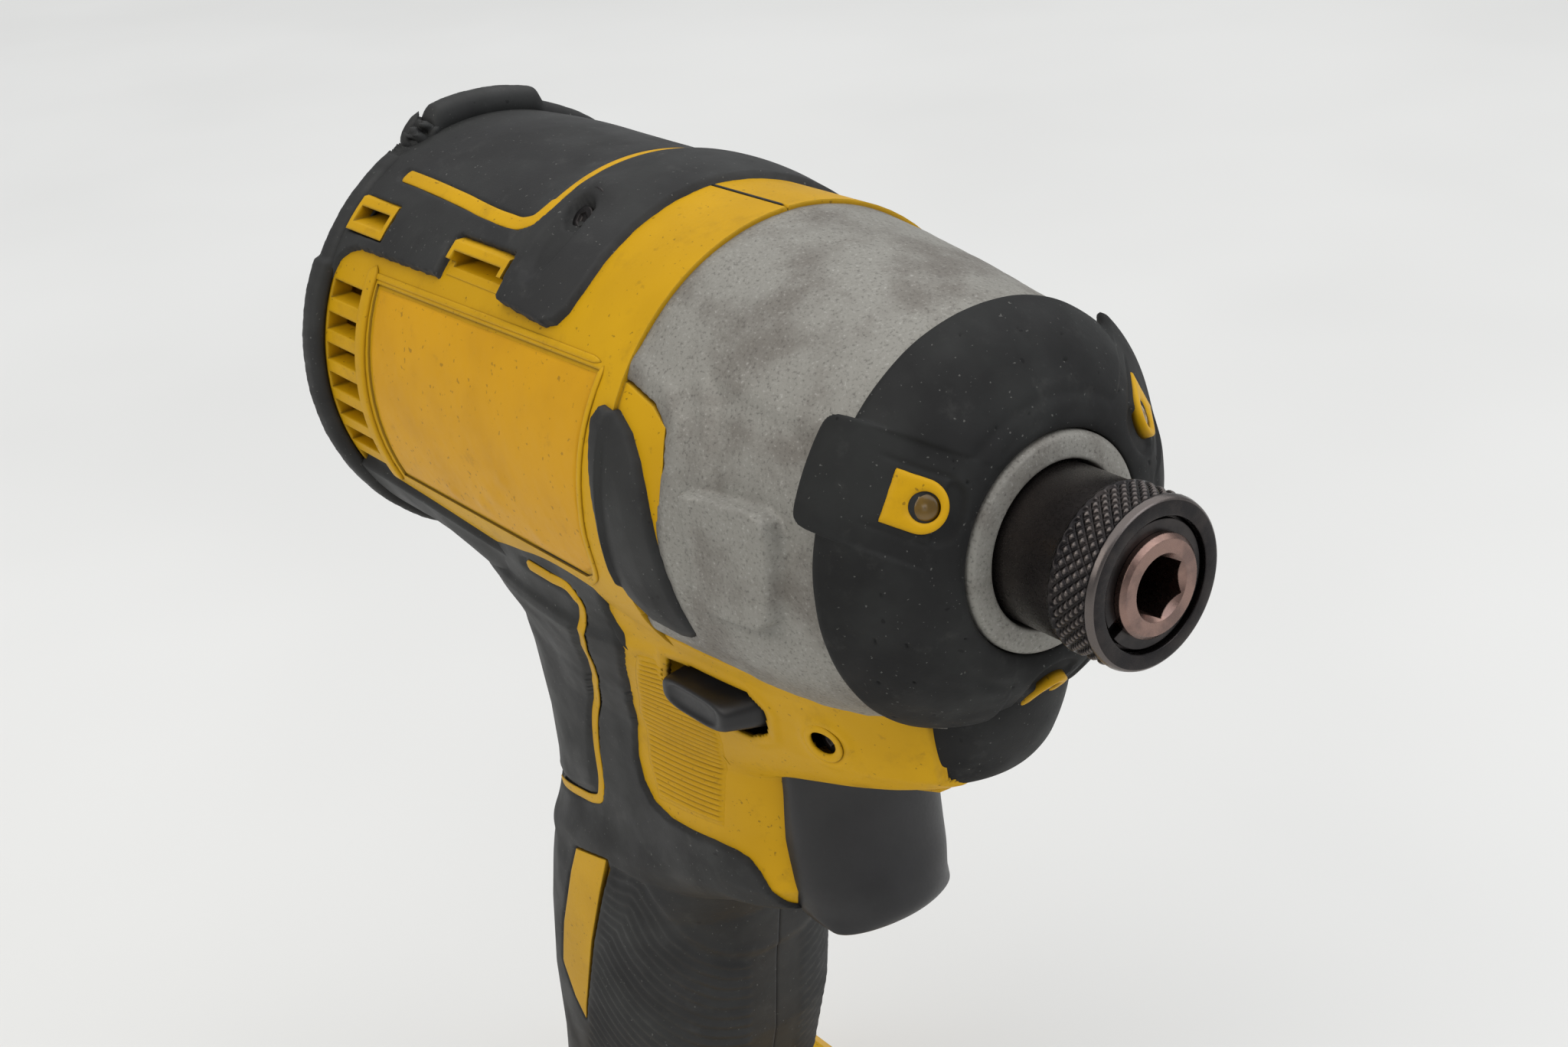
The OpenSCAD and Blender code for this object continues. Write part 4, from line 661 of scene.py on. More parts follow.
def coverRise(x):  # the cover's height over the barrel, a smooth line along the axis
    line = smoothLine(coverForm["rise"], 400)
    return np.interp(x, line[:, 0], line[:, 1])


def motorCover(c):
    x = np.arange(*c["x"], c["step"])[:, None]
    arc = np.linspace(-c["arc"], c["arc"], int(2 * c["arc"] / c["step"]))[None]
    along, down = np.broadcast_arrays(x, np.abs(arc))
    torn = ridge(down - 23.5, 1.6) * ridge(along + 88, 3)
    crumble = 0.12 * wobble(along * 1.9 + down, 1.0) + 0.3 * wobble(along * 4 + down * 5, 3.0) * torn
    gap = np.minimum(edgeGap(along, down, c["outline"]) + crumble, -edgeGap(along, down, c["window"]) + 0.5 * crumble)
    tall = -0.8 + (0.8 + coverRise(x)) * smoothStep(gap / 0.7 + 0.55)
    tall = tall - 0.5 * smoothStep((1.25 - lineGap(along, down, c["stripe"])) / 0.45)
    aside, over = along - c["screw"][0], np.broadcast_to(arc, along.shape) - c["screw"][1]
    scoop = np.clip(1 - (aside / 3.4) ** 2 - ((over - 4.2) / 7.6) ** 2, 0, 1)
    tall = tall - 0.95 * smoothStep(scoop * 1.4)
    tall = tall + 1.15 * ridge(np.hypot(aside / 3.6, (over + 4.6) / 2.6), 1.0)
    well = smoothStep((2.7 - np.hypot(aside, over)) / 0.5)
    tall = tall * (1 - well) + 0.18 * well
    points = aroundAxis(x, barrelR + tall, arc / c["arcR"])
    piece = gridSurface("motorCover", points, keep=gap > -0.9)
    return finishPiece(piece, "black_elastomer", nodes=["right_overmould", "left_overmould"], wall=c["wall"])


motorCover(coverForm)


def coverStripe(c):  # amber bead that shows through the cover's groove: the groove's own line, mirrored over the top
    half = smoothLine(c["stripe"], 130)
    line = np.concatenate([half, half[-2::-1] * np.array([1, -1])])
    angle = line[:, 1] / c["arcR"]
    path = aroundAxis(line[:, 0], barrelR + coverRise(line[:, 0]) - 0.28, angle)
    facing = np.stack([0 * angle, -np.sin(angle), np.cos(angle)], -1)
    width = np.where(np.abs(line[:, 1]) > 13.5, 2.2, 1.3)
    return finishPiece(sweptStrip("coverStripe", path, facing, width, 0.3), "yellow_nylon")


coverStripe(coverForm)

# Rear rim of the overmould: a closed outline (radius, along) turned round the axis, raised to a fin at the top,
# torn off beside it and worn down further round
rimForm = {
    "outline": [(30.85, -130.9), (32.2, -131.2), (32.75, -131.8), (32.9, -132.6), (32.85, -134.2), (32.0, -135.6),
        (30.4, -136.4), (27.2, -136.45), (27.0, -135.75), (30.85, -132.9)],
    "cols": 900, "fin": (-20, 15.5, 1.9), "torn": (13.5, 27), "worn": (25, 60)}


def rearRim(f):
    line = softCorners(f["outline"], 0.5)
    angle = np.linspace(-np.pi, np.pi, f["cols"], endpoint=False)[None]
    r, x = line[:, :1], line[:, 1:]
    degrees = np.degrees(angle)
    fin = f["fin"][2] * between(degrees, f["fin"], 4, 5)
    torn = between(degrees, f["torn"], 1, 2) * (0.85 + 0.5 * wobble(degrees * 1.7 + x * 2, 2.0))
    bite = torn + 0.55 * between(degrees, f["worn"], 2, 2)
    worn = 0.1 * wobble(degrees * 0.5, 4.0) + 0.05 * wobble(degrees * 2.1 + x, 1.0)
    outer = smoothStep((r - 30.9) / 0.6)
    points = aroundAxis(x, r + outer * (worn * 0.5 - 1.3 * bite + fin), angle)
    return finishPiece(gridSurface("rearRim", points, True, True), "black_elastomer")


rearRim(rimForm)

# Parting line of the two housings on the collar: a thin dark bead along the top, painted shade standing in for the
# shadow in the joint
seamForm = {"x": (-75.2, -60.4, 40), "over": 0.02, "width": 0.42, "height": 0.07}


def collarSeamShade(f):
    x = np.linspace(*f["x"])
    path = np.stack([x, 0 * x, 0 * x + barrelR + f["over"]], -1)
    upward = np.array([[0, 0, 1.0]]) + 0 * path
    return finishPiece(sweptStrip("collarSeamShade", path, upward, f["width"], f["height"]), "black_elastomer")


collarSeamShade(seamForm)

# Torn shreds at the rim: short crooked tapering straps, each a six-sided outline carried along a bent line
shredForm = {
    "count": 17, "angle": (12.5, 22.5), "along": (-131.4, -135.0), "length": (1.2, 3.4), "rootR": 31.0, "thick": 0.9,
    "seed": 23}


def tornShreds(f):
    draw = np.random.default_rng(f["seed"])
    n = f["count"]
    root = np.radians(draw.uniform(*f["angle"], n))
    x = draw.uniform(f["along"][1], f["along"][0], n)
    reach, lean, curl = draw.uniform(*f["length"], n), draw.uniform(-0.7, 0.7, n), draw.uniform(-0.9, 0.9, n)
    t = np.linspace(0, 1, 7)
    r = f["rootR"] + reach[:, None] * t
    angle = root[:, None] + (lean[:, None] * t + curl[:, None] * t ** 2) * reach[:, None] / 32
    along = x[:, None] + draw.uniform(-0.8, 0.8, n)[:, None] * t ** 2
    spine = aroundAxis(along, r, angle)
    half = f["thick"] * (1 - 0.5 * t ** 3)[None] * draw.uniform(0.6, 1.3, n)[:, None]
    turn = fullTurn(6).T
    aside = np.stack([0 * root, -np.cos(root), -np.sin(root)], -1)[:, None, None]
    side = np.cos(turn) * np.array([1.0, 0, 0]) + np.sin(turn) * aside
    rings = spine[:, :, None] + half[:, :, None, None] * side
    rings[:, -1] = spine[:, -1:]
    return finishPiece(gridSurface("tornShreds", rings, wrapCols=True), "black_elastomer")


tornShreds(shredForm)


print("stage: label panel")
# Label films on both sides: the barrel's recess floor plus a thin film inside the label outline, sunk outside it, with
# a few blisters along the lower edge
labelForm = {
    "outline": [(-118.4, 15.0), (-65.0, 15.8), (-66.0, 4), (-66.6, -9.4), (-70.2, -11.4), (-116.4, -11.4)],
    "floorR": 30.45, "film": 0.16, "x": (-120, -63.5), "angle": (56, 114), "step": 0.4,
    "blisters": [(-88, -6, 2.4, 0.3), (-92.5, -8.6, 1.8, 0.28), (-79, -9, 2.0, 0.22), (-101, -9.4, 1.6, 0.25),
        (-84.5, -2.5, 1.4, 0.15)],
    "wall": 0.1}
# Printed film, bare: thin polyester over amber, more orange than the housing, scuffed grey along its raised places; its
# corner colour is painted shade laid into corners by ambient occlusion
film = {"base": "#cd9710", "edge": "#d0a63c", "corner": "#6a4a12", "grainMm": 1.2, "stains": [
    {"mm": 14, "low": 0.4, "high": 0.7, "amount": 0.7, "hex": "#c08c10"},
    {"mm": 3.5, "low": 0.6, "high": 0.74, "amount": 0.3, "hex": "#9a7220", "detail": 6.0, "rough": 0.7},
    {"mm": 0.9, "low": 0.68, "high": 0.75, "amount": 0.45, "hex": "#5c4420", "detail": 1.0}]}


def labelFilm(name, side, f, finish):
    x = np.arange(*f["x"], f["step"])[:, None]
    angle = np.radians(np.arange(*f["angle"], f["step"] * 1.85))[None]
    along, high = np.broadcast_arrays(x, f["floorR"] * np.cos(angle))
    gap = edgeGap(along, high, f["outline"])
    tall = -0.25 + (0.25 + f["film"]) * smoothStep(gap / 0.5 + 0.5) + 0.02 * wobble(along * 0.7 + high * 0.5, 5.0)
    for u, v, size, lift in f["blisters"]:
        tall = tall + lift * ridge(np.hypot(along - u, (high - v) * 1.4), size) * (gap > 0)
    points, keep = sideGrid(side, aroundAxis(x, f["floorR"] + tall, angle), gap > -0.6)
    return finishPiece(gridSurface(name, points, keep=keep), "yellow_nylon", material=finish, wall=f["wall"])


filmFinish = mouldedNylon("polyesterFilmBare", film)
for side, word in sides:
    labelFilm(word + "LabelFilm", side, labelForm, filmFinish)

# Raised lines that frame the label, each a bead along the barrel: side view line, width, height
beadForm = {
    "topBead": ([(-121.0, 16.4), (-100, 16.7), (-80, 17.0), (-64.6, 17.2)], 0.9, 0.2),
    "rearPost": ([(-120.6, 17.6), (-120.3, 8), (-119.9, -2), (-119.2, -13.6)], 2.4, 0.55),
    "frontBead": ([(-63.9, 17.0), (-64.6, 8), (-65.2, -2), (-66.8, -10.6), (-70.2, -13.2)], 0.9, 0.28)}


def panelBeads(beads):  # each line laid on the barrel: sideways the root of the radius squared less the height squared
    for key, (corners, width, height) in beads.items():
        line = smoothLine(corners, 70)
        for side, word in sides:
            y = side * np.sqrt(barrelR ** 2 - line[:, 1] ** 2)
            path = np.stack([line[:, 0], y, line[:, 1]], -1)
            facing = path * np.array([0, 1, 1]) / barrelR
            strip = sweptStrip(word + key[0].upper() + key[1:], path[::side], facing[::side], width, height)
            finishPiece(strip, "yellow_nylon")


panelBeads(beadForm)


print("stage: handle skins")
# Handle: upright rows of superellipses, each with its height, front, rear, half width and front squareness; the flare
# widens it sideways where it runs up under the barrel
handle = {
    "rows": [(-12, -22.5, -125, 27, 2.7), (-18, -22.5, -124.6, 24.4, 2.7), (-22, -22.5, -124, 22, 2.7),
        (-26, -22.5, -123.2, 20.7, 2.7), (-31, -22.5, -122, 19.6, 2.7), (-33, -25.2, -121, 19.2, 2.7),
        (-34.4, -28.5, -120.2, 18.9, 2.8), (-35.8, -32.5, -119.8, 18.6, 2.9), (-37.4, -38, -119.4, 18.4, 3),
        (-39, -44, -119, 18, 3.3), (-40.5, -49, -118.5, 17.7, 3.6), (-42, -53, -118.2, 17.5, 4),
        (-52, -53.5, -116.6, 17, 4), (-60, -52.5, -116.3, 17, 4), (-63, -53.5, -116.5, 17, 3.6),
        (-66, -61, -116.9, 17, 3), (-71, -71.5, -117.6, 17.2, 2.6), (-78, -76.6, -119.8, 17.6, 2.6),
        (-90, -78.8, -122.7, 17.8, 2.6), (-104, -80.8, -125.2, 17.7, 2.6), (-118, -84.8, -126.2, 16.8, 2.6),
        (-132, -88.5, -128.2, 16.4, 2.6), (-142, -88, -129.5, 17, 2.6)],
    "flare": [(-42, 0), (-36, 0.8), (-32, 1.7), (-28, 2.9), (-24, 3.6), (-19, 1.9), (-15, 0.6), (-11, 0)],
    "flareX": (-58, -82), "rearSquare": 2.6}


# A point of the handle's skin: turn runs from the front over the right side to the rear, grow moves it outwards
def handlePoint(z, turn, grow):
    rows, flare = np.array(handle["rows"]), np.array(handle["flare"])
    front, rear, half, square = (np.interp(-z, -rows[:, 0], rows[:, i]) for i in (1, 2, 3, 4))
    ahead, aside = superRound(turn, np.where(np.cos(turn) > 0, square, handle["rearSquare"]))
    x = (front + rear) / 2 + ((front - rear) / 2 + grow) * ahead
    start, end = handle["flareX"]
    wide = half + grow + np.interp(z, flare[:, 0], flare[:, 1]) * smoothStep((start - x) / (start - end))
    return np.stack(np.broadcast_arrays(x, -wide * aside, z), -1)


# The skin's points on the right side at side-view places: the turn at which the skin has that x, by interpolation
def handleSpot(x, z, grow):
    turn = np.linspace(0.02, np.pi - 0.02, 900)
    at = [np.interp(-u, -handlePoint(v, turn, grow)[:, 0], turn) for u, v in zip(x, z)]
    return np.stack([handlePoint(v, t, grow) for v, t in zip(z, at)])


# Rubber grip: its height over the handle rises inside the side-view outline and sinks outside it and in the inlay
# window; the palm pad, a fold and the cushion above the fingers swell, ribs run parallel to the cushion's lower edge
gripForm = {
    "outline": [(-69.4, -10), (-69.8, -17), (-71.4, -25), (-74.6, -31), (-77.8, -37.2), (-80.2, -43), (-81.2, -48),
        (-80.7, -51.8), (-78.8, -54.2), (-75, -55.2), (-70, -55.0), (-65.8, -54.6), (-62, -54.7), (-59.8, -55.4),
        (-58.4, -57.2), (-57.2, -59.6), (-56, -62), (-54, -64), (-50, -65.4), (-42, -66), (-42, -140.6),
        (-140, -140.6), (-140, -10)],
    "inlay": [(-102.2, -73.1), (-93.0, -70.9), (-100.0, -88.4), (-106.5, -107.4), (-112.1, -99.1), (-109.3, -90.2)],
    "palm": [(-78.6, -22.4), (-85.6, -34), (-90.6, -43), (-93.2, -50.3), (-94.2, -58.6), (-99.6, -60.8),
        (-106, -62.8), (-140, -72), (-140, -22.4)],
    "stripe": [(-88.5, -16.9), (-82, -16.7), (-77.4, -16.9), (-76.1, -18.4), (-77.4, -22), (-81.0, -28.2),
        (-86.6, -37.6), (-90.6, -45), (-92.0, -51), (-92.3, -57.4), (-93.4, -60.2), (-95.6, -61.4), (-99.6, -62.6),
        (-106.1, -64.6), (-111, -66.2)],
    "fold": [(-112, -73), (-108.8, -72.1), (-101.1, -69.8), (-93.6, -68), (-87, -67.2), (-80.8, -65.6)],
    "crease": [(-92.1, -17.7, -71.1), (-88.2, -17.6, -70.3), (-85.2, -17.2, -71), (-83.1, -15.9, -75),
        (-81.9, -14.1, -79.7), (-79.9, -11.5, -83.1), (-78.3, -6.8, -86), (-77.9, -0.3, -87.6)],
    "z": (-11, -118, -141), "footRows": 20, "ribPitch": 1.95, "ribHeight": 0.34, "rubber": 1.0, "sunk": 1.0,
    "wall": 0.5}


def gripHeight(points, g):
    x, y, z = points[..., 0], points[..., 1], points[..., 2]
    edge = np.minimum(edgeGap(x, z, g["outline"]), -edgeGap(x, z, g["inlay"]))
    tall = -g["sunk"] + (g["sunk"] + g["rubber"]) * smoothStep(edge / 1.0 + 0.5)
    tall = tall + 0.5 * smoothStep(edgeGap(x, z, g["palm"]) / 0.8 + 0.5)
    tall = tall - 0.4 * smoothStep((1.05 - lineGap(x, z, g["stripe"])) / 0.4)
    tall = tall + 0.5 * ridge(lineGap(x, z, g["fold"]), 2.6) - 0.3 * ridge(lineGap(x, z + 4.6, g["fold"]), 2.4)
    crease = np.array(g["crease"])
    front = np.interp(-z, -crease[2:, 2], crease[2:, 0])
    below = smoothStep((front - x) / 1.4 + 0.4) * smoothStep((-70.6 - z) / 1.2)
    below = below * (x > -101 - 0.3 * (z + 95)) + (z < -87.2)
    below = np.clip(below, 0, 1) * smoothStep((x + 94.6 - (z + 76) * 0.36) / 1.5)
    away = np.full(x.shape, np.inf)
    for start, end in zip(crease[:-1], crease[1:]):
        run = end - start
        f = np.clip(((points - start) @ run) / (run @ run), 0, 1)
        away = np.minimum(away, np.linalg.norm(points - start - f[..., None] * run, axis=-1))
    ribs = 0.5 - 0.5 * np.cos(2 * np.pi * (away - 1.2) / g["ribPitch"])
    ribs = ribs * smoothStep((away - 1.4) / 0.8) * smoothStep((np.abs(y) - 4.0) / 1.2) * smoothStep((z + 128) / 6)
    return tall + below * (g["ribHeight"] * ribs - 0.3) + 0.35 * ridge(away, 1.3) * (1 - below) * (x > -93), edge


def gripWrap(name, side, node, g, rowStep, cols):
    top, waist, foot = g["z"]
    z = np.concatenate([np.arange(top, waist, -rowStep), np.linspace(waist, foot, g["footRows"])])[:, None]
    turn = np.linspace(0.004, np.pi - 0.004, cols)[None]
    bare = handlePoint(z, turn, 0.0)
    tall, edge = gripHeight(bare, g)
    points = handlePoint(z, turn, tall)
    keep = (edge > -1.0) & (np.hypot(points[..., 1], points[..., 2]) > barrelR - 0.8)
    points, keep = sideGrid(side, points, keep)
    return finishPiece(gridSurface(name, points, keep=keep), "black_elastomer", nodes=[node], wall=g["wall"])


gripWrap("rightGripWrap", -1, "right_grip", gripForm, 0.42, 196)
gripWrap("leftGripWrap", 1, "left_grip", gripForm, 0.7, 130)


# Rubber under the barrel from the rear rim to the handle: the barrel's radius plus a skin that thickens forwards
underForm = {
    "edge": [(-131.4, -13.6), (-120, -14.3), (-113.5, -14.9), (-106.3, -15.9), (-97.7, -17.2), (-91.7, -18.2),
        (-81, -17.6), (-70, -16.8)],
    "rise": [(-131.4, 1.0), (-120, 1.0), (-114, 1.3), (-109, 1.9), (-99, 3.3), (-91, 3.8), (-70, 3.4)],
    "front": -70.4, "x": (-131.6, -69.2, 150), "angle": (111, 249, 300), "wall": 0.5}


def underWrap(u):
    x = np.linspace(*u["x"])[:, None]
    angle = np.radians(np.linspace(*u["angle"]))[None]
    low = -(barrelR * np.cos(angle)) + np.interp(x, *np.array(u["edge"]).T)
    rise = np.interp(x, *np.array(u["rise"]).T)
    edge = np.minimum(low, u["front"] - x)
    tall = -0.7 + 1.6 * smoothStep(edge / 0.9 + 0.5) + (rise - 0.9) * smoothStep((low - 0.5) / 6.0)
    piece = gridSurface("underWrap", aroundAxis(x, barrelR + tall, angle), keep=edge > -0.8)
    return finishPiece(piece, "black_elastomer", wall=u["wall"])


underWrap(underForm)


def gripStripe(g):  # amber bead in the groove beside the palm pad, on both sides
    line = smoothLine(g["stripe"], 150)
    path = handleSpot(line[:, 0], line[:, 1], g["rubber"] - 0.12)
    facing = unit(handleSpot(line[:, 0], line[:, 1], g["rubber"] + 0.88) - path)
    for name, side in (("rightGripStripe", 1), ("leftGripStripe", -1)):
        flip = np.array([1, side, 1])
        finishPiece(sweptStrip(name, (path * flip)[::side], (facing * flip)[::side], 1.5, 0.2), "yellow_nylon")


gripStripe(gripForm)

# Amber flank between grip, case and trigger: a thin skin over the housing, its upper edge tucked under the case
flankForm = {
    "outline": [(-25.9, -19), (-28, -19), (-45, -18.6), (-59.4, -18), (-66, -14), (-86, -14), (-86, -60), (-60, -62),
        (-53.2, -63.4), (-53.4, -42), (-51.6, -41.5), (-46, -40.6), (-40, -39), (-32, -36.6), (-28.5, -35),
        (-25.9, -33.6)],
    "z": (-12.5, -66, -0.36), "turn": (0.03, 2.1, 330), "lift": 0.3, "sunk": 0.5, "wall": 0.8,
    "button": [(-65.4, -27.6), (-63.3, -23.6), (-58, -23.2), (-48.8, -23.2), (-46.7, -25.8), (-47.3, -29.3),
        (-50.4, -30.9), (-63.3, -30.9)],
    "well": (-38.1, -27.4, 2.1)}


def flankSkin(name, side, f):
    z = np.arange(*f["z"])[:, None]
    turn = np.linspace(*f["turn"])[None]
    bare = handlePoint(z, turn, 0.0)
    x, z = bare[..., 0], bare[..., 2]
    edge = edgeGap(x, z, f["outline"])
    wellX, wellZ, wellR = f["well"]
    well = wellR - np.hypot(x - wellX, z - wellZ) if side < 0 else -9.0  # only the right side has the screw
    hole = np.maximum(edgeGap(x, z, f["button"]), well)
    lip = 0.35 * ridge(hole + 1.0, 0.8) * (edge > 0.5)
    points = handlePoint(z, turn, -f["sunk"] + (f["sunk"] + f["lift"]) * smoothStep(edge / 1.0 + 0.6) + lip)
    under = np.where(x > seamX, caseRadius(np.minimum(x, -27)) - 0.6, barrelR - 0.4)
    keep = (edge > -0.9) & (np.hypot(points[..., 1], points[..., 2]) > under) & (hole < 0)
    keep = keep & ((side < 0) | (x < -29))
    points, keep = sideGrid(side, points, keep)
    return finishPiece(gridSurface(name, points, keep=keep), "yellow_nylon", wall=f["wall"])


for side, word in sides:
    flankSkin(word + "FlankSkin", side, flankForm)


def wellLip(f):  # rounded lip of the screw well: a bead carried once round the hole on the skin
    turn = np.linspace(0, 2 * np.pi + 0.35, 64)
    wellX, wellZ, wellR = f["well"]
    u, v = wellX + (wellR + 0.1) * np.cos(turn), wellZ + (wellR + 0.1) * np.sin(turn)
    path = handleSpot(u, v, f["lift"] + 0.15)
    facing = unit(handleSpot(u, v, f["lift"] + 1.15) - path)
    finishPiece(sweptStrip("wellLip", path, facing, 1.1, 0.3), "yellow_nylon")


wellLip(flankForm)

# Thumb rest: a field of fine level ridges moulded into the flank, a cosine of the height
thumbForm = {
    "outline": [(-69.6, -25.4), (-62.5, -24.6), (-58.2, -30.5), (-58.9, -36), (-62.1, -43), (-63.9, -51.8),
        (-77.6, -53.2), (-78.5, -47.2), (-77.4, -39), (-73, -31)],
    "z": (-24, -54.2, -0.155), "x": (-80, -56, 110), "pitch": 0.92, "tilt": 0.09, "height": 0.3, "lift": 0.22,
    "wall": 0.15}


def thumbRest(name, side, t):
    z = np.arange(*t["z"])[:, None]
    across = np.linspace(*t["x"])
    x, high = np.broadcast_arrays(across[None], z)
    spot = np.linspace(0.02, np.pi - 0.02, 700)
    turn = np.stack([np.interp(-across, -row, spot) for row in handlePoint(z, spot[None], 0.0)[..., 0]])
    edge = edgeGap(x, high, t["outline"])
    comb = 0.5 + 0.5 * np.cos(2 * np.pi * (z - t["tilt"] * x) / t["pitch"])
    lift = t["lift"] + smoothStep(edge / 0.9) * (0.06 + t["height"] * comb) - 0.3 * (1 - smoothStep(edge / 0.5 + 1))
    points = handlePoint(z, turn, lift)
    keep = (edge > -0.4) & (edgeGap(x, high, flankForm["button"]) < -0.8)
    points, keep = sideGrid(side, points, keep)
    return finishPiece(gridSurface(name, points, keep=keep), "yellow_nylon", wall=t["wall"])


for side, word in sides:
    thumbRest(word + "ThumbRest", side, thumbForm)


print("stage: controls")
# Trigger: upright rows of superellipses, squarer behind than in front, each (height, front, rear, share of the half
# width), closed by a pole above and below
triggerForm = {
    "half": 12.3, "square": 1.95, "backSquare": 8, "back": 4.5, "cols": 160,
    "rows": [(-37.5, -49.5, -57, 0.9), (-39, -48.8, -58.5, 0.97), (-41, -48.6, -58.5, 1), (-45, -48.3, -58.5, 1),
        (-50, -47.3, -58.5, 1), (-56, -45.8, -58.5, 0.99), (-60, -44.5, -58.5, 0.97), (-62.6, -44, -58.2, 0.93),
        (-64.2, -44.4, -56, 0.88), (-65.2, -45.4, -54, 0.82), (-66, -47, -53.4, 0.74), (-66.6, -49.4, -53, 0.6)]}
# Satin black nylon: handled smooth, faint grey dust in clouds
triggerFinish = plainMoulding("mouldedNylonHandled", "#0d0c0e", "#141315", 0.38, 0.54, 1.5)


def softTrigger(t):
    z, front, rear, share = smoothLine(t["rows"], 90).T[..., None]
    turn = fullTurn(t["cols"])
    ahead, aside = superRound(turn, np.where(np.cos(turn) > 0, t["square"], t["backSquare"]))
    middle = rear + np.minimum(t["back"], (front - rear) * 0.5)
    x = middle + np.where(ahead > 0, front - middle, middle - rear) * ahead
    points = np.stack(np.broadcast_arrays(x, -t["half"] * share * aside, z), -1)
    poles = points[[0, -1]].mean(1, keepdims=True) + 0 * points[[0, -1]]
    points = np.concatenate([poles[:1], points, poles[1:]])
    piece = gridSurface("softTrigger", points, wrapCols=True)
    return finishPiece(piece, "black_plastic", "trigger", ["trigger"], triggerFinish)


softTrigger(triggerForm)

# Direction button: a rounded oblong lofted from its root to its face, where a shallow oblong is pressed in; rows list
# (way out, share from root to face, shrink of the oblong)
buttonForm = {
    "root": (-55.65, -27.1, 8.0, 2.9), "face": (-57.4, -27.7, 6.8, 2.1), "square": 3.4, "y": (-18.0, -23.2),
    "cols": 96, "travel": 5.0,
    "rows": [(-0.3, 0, 0.0), (-0.3, 0, 1), (0.0, 0, 1), (0.35, 0.35, 1), (0.7, 0.72, 1), (0.9, 0.93, 1),
        (0.97, 0.99, 0.96), (1.0, 1, 0.9), (1.0, 1, 0.78), (0.96, 1, 0.72), (0.93, 1, 0.66), (0.92, 1, 0.3),
        (0.92, 1, 0.0)]}


def directionButton(b):
    along, high = superRound(fullTurn(b["cols"]), b["square"])
    way, lean, shrink = np.array(b["rows"]).T[..., None]
    u, v, halfU, halfV = (root + (face - root) * lean for root, face in zip(b["root"], b["face"]))
    y = b["y"][0] + (b["y"][1] - b["y"][0]) * way + 0 * along
    right = np.stack([u + halfU * shrink * along, y, v + halfV * shrink * high], -1)
    left = mirrored(right) - np.array([0, b["travel"], 0])
    piece = gridSurface("directionButton", np.stack([right, left]), wrapCols=True)
    return finishPiece(piece, "black_plastic", "direction_button", ["direction_button"], triggerFinish)


directionButton(buttonForm)

# Screw head sunk in a moulding: an outline (share of the radius, share of the height over its seat) turned round the
# screw's own axis; inside the socket's share the radius is that of a hexagon
screwForm = {
    "rows": [(1, -0.6), (1, 0.1), (0.93, 0.3), (0.82, 0.36), (0.56, 0.36), (0.52, 0.3), (0.5, -0.3), (0.3, -0.34),
        (0.0, -0.36)],
    "socket": 0.57, "cols": 60}


def socketScrew(name, at, outward, r, high):
    outward = unit(np.array(outward, float))
    side = unit(np.cross(outward, [1.0, 0, 0]))
    turn = fullTurn(screwForm["cols"])
    share, rise = np.array(screwForm["rows"]).T[..., None]
    hexed = np.cos(np.pi / 6) / np.cos(np.mod(turn, np.pi / 3) - np.pi / 6)
    out = r * share * np.where(share < screwForm["socket"], hexed, 1.0)
    ring = (out * np.cos(turn))[..., None] * side + (out * np.sin(turn))[..., None] * np.cross(outward, side)
    points = np.array(at) + ring + (high * rise + 0 * turn)[..., None] * outward
    return finishPiece(gridSurface(name, points, wrapCols=True), "black_steel")


socketScrew("flankScrew", (-38.1, -16.2, -27.4), (0, -1, 0), 2.0, 0.8)
screwTurn = coverForm["screw"][1] / coverForm["arcR"]
socketScrew("coverScrew", aroundAxis(coverForm["screw"][0], barrelR + 0.45, screwTurn), (0, -0.8, 0.6), 1.9, 0.6)


# Cuts in the housings' skins, for the room that the controls move in and where a new skin stands further in: each block
# (low corner, high corner, turn round the tool's axis in degrees, whether the left side has its twin) is taken away
cutForm = {"triggerSlot": ((-67.0, -12.8, -64.8), (-40.0, 12.8, -38.6), 0, False),
           "buttonSlot": ((-65.8, -40.0, -31.2), (-44.4, -9.0, -23.2), 0, True),
           "flank": ((-60.0, -45.0, -41.0), (-20.0, -9.0, -14.0), 0, True),
           "noseFront": ((-27.4, -14.0, -42.0), (-20.0, 14.0, -14.0), 0, False),
           "boss": ((-89.0, -9.0, 30.95), (-78.0, 7.0, 40.0), 22, True),
           "windowBar": ((-106.0, -3.4, 30.9), (-88.0, 2.6, 40.0), 52, True),
           "foot": ((-140.0, -140.0, -79.4), (-50.0, -107.0, -50.0), 45, True)}
screwCut = {"flankScrew": ((-43.0, -20.0, -38.0), (-33.0, -6.0, -29.0), 0, False)}


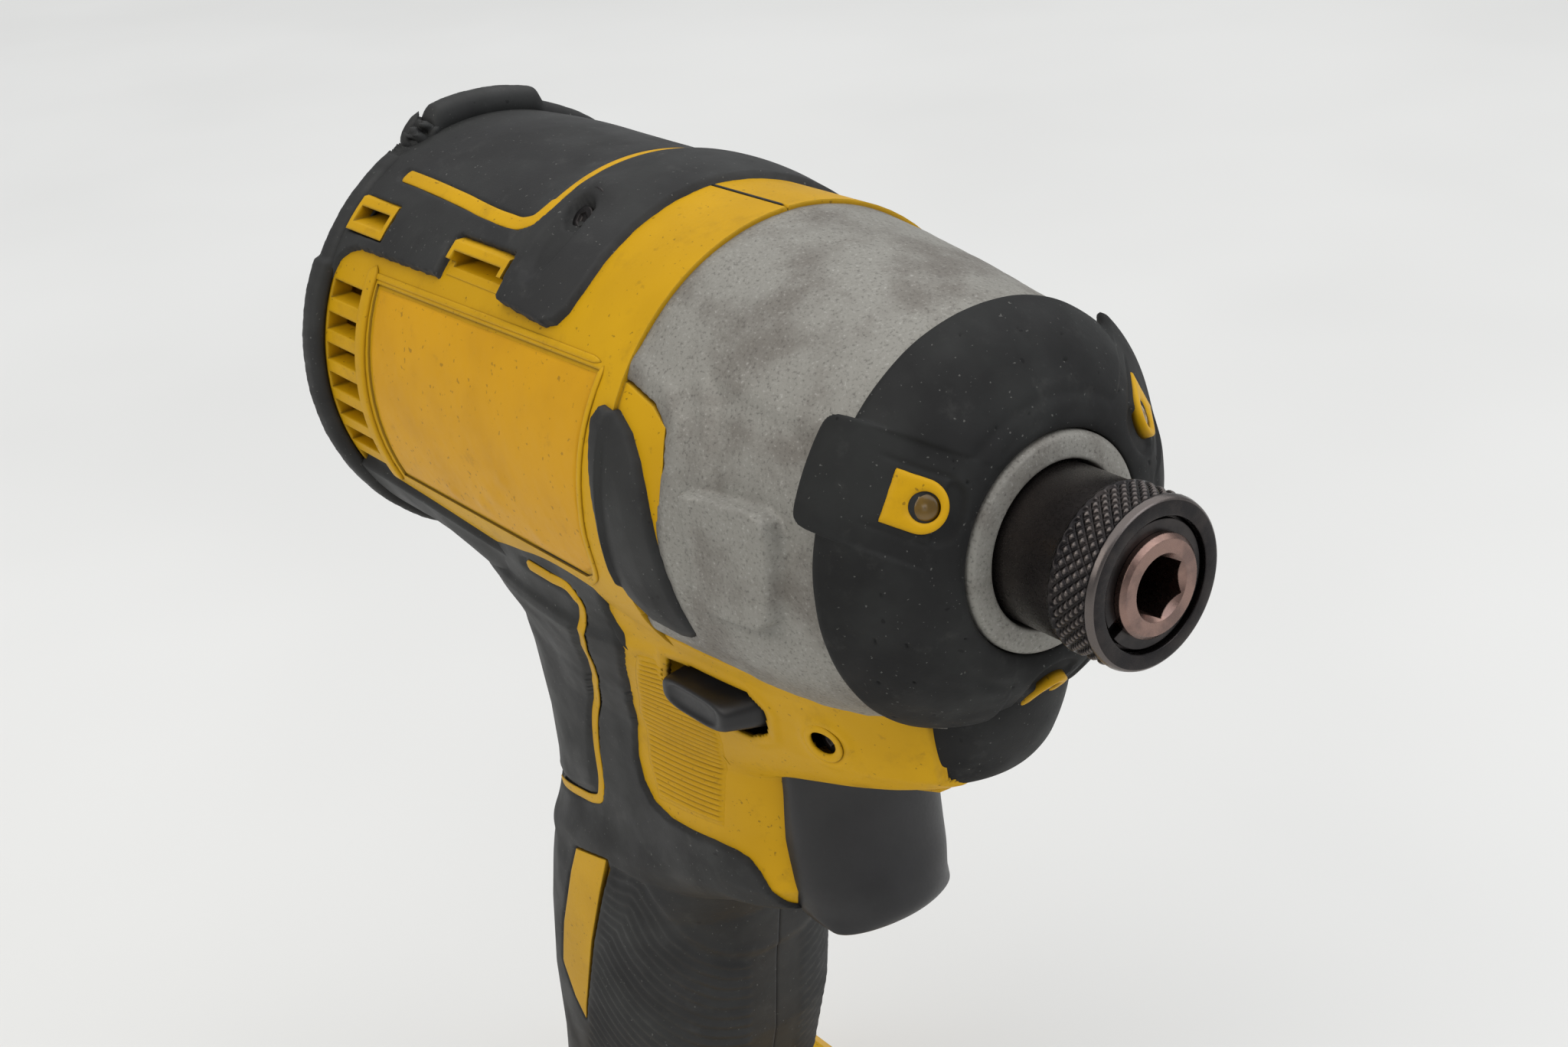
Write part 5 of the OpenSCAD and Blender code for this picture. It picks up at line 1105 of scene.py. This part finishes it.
def cutSkin(cuts):  # the smooth skin with every block cut off before its faces are smoothed
    group = smoothSkin(sharpAbove)
    group.name = "cutSkin"
    first = next(node for node in group.nodes if node.bl_idname == "GeometryNodeRemoveAttribute")
    cut = addNode(group, "GeometryNodeMeshBoolean", {"Mesh 1": first}, operation="DIFFERENCE", solver="EXACT")
    for low, high, turn, paired in cuts.values():
        low, high = np.array(low) * mm, np.array(high) * mm
        for side in (1, -1) if paired else (1,):
            middle = (low + high) / 2 * np.array([1, side, 1])
            block = addNode(group, "GeometryNodeMeshCube", {"Size": high - low})
            moved = addNode(group, "GeometryNodeTransform", {"Geometry": block, "Translation": middle})
            turned = addNode(group, "GeometryNodeTransform",
                             {"Geometry": moved, "Rotation": (side * np.radians(turn), 0, 0)})
            group.links.new(turned.outputs[0], cut.inputs["Mesh 2"])
    shades = (node for node in group.nodes if node.bl_idname == "GeometryNodeSetShadeSmooth")
    after = next(node for node in shades if node.domain == "FACE")
    group.links.new(cut.outputs[0], after.inputs["Geometry"])
    return group


housingSkin = cutSkin(cutForm)
for nodeName in ("right_housing", "left_housing"):
    frame["nodes"][nodeName].modifiers["smoothSkin"].node_group = housingSkin
frame["nodes"]["housing_screws"].modifiers["smoothSkin"].node_group = cutSkin(screwCut)


print("stage: springs")
# Coil springs: a round wire carried along a helix whose end turns lie flat
springForm = {
    "hammerSpring": {"node": "hammer_spring", "body": "carrier", "joint": "hammer_slide", "r": 14.8, "wire": 0.95,
        "x": (-52.13, -69.37), "z": 0.0, "turns": 4.5, "anchor": -70.32, "keep": 0.57},
    "sleeveSpring": {"node": "sleeve_spring", "body": "output", "joint": "sleeve_slide", "r": 6.98, "wire": 0.45,
        "x": (-3.46, -12.14), "z": 0.0, "turns": 3.5, "anchor": -3.01, "keep": 0.57},
    "triggerSpring": {"node": "trigger_spring", "body": "trigger", "joint": "trigger_pull", "r": 4.6, "wire": 0.4,
        "x": (-50.0, -65.7), "z": -54.0, "turns": 5.5, "anchor": -49.6, "keep": 0.56}}


def coilSpring(name, s):
    t = np.linspace(0, s["turns"], int(60 * s["turns"]))[:, None]
    turn = fullTurn(12)
    lay = s["x"][0] + (s["x"][1] - s["x"][0]) * np.clip((t - 0.75) / (s["turns"] - 1.5), 0, 1)
    wire = s["wire"] * np.sqrt(np.clip(np.minimum(t, s["turns"] - t) / 0.02, 0, 1))
    points = aroundAxis(lay + wire * np.sin(turn), s["r"] + wire * np.cos(turn), 2 * np.pi * t)
    points = points + np.array([0, 0, s["z"]])
    piece = finishPiece(gridSurface(name, points, wrapCols=True), "spring_steel", s["body"], [s["node"]])
    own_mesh(piece)


for springName, spring in springForm.items():
    coilSpring(springName, spring)
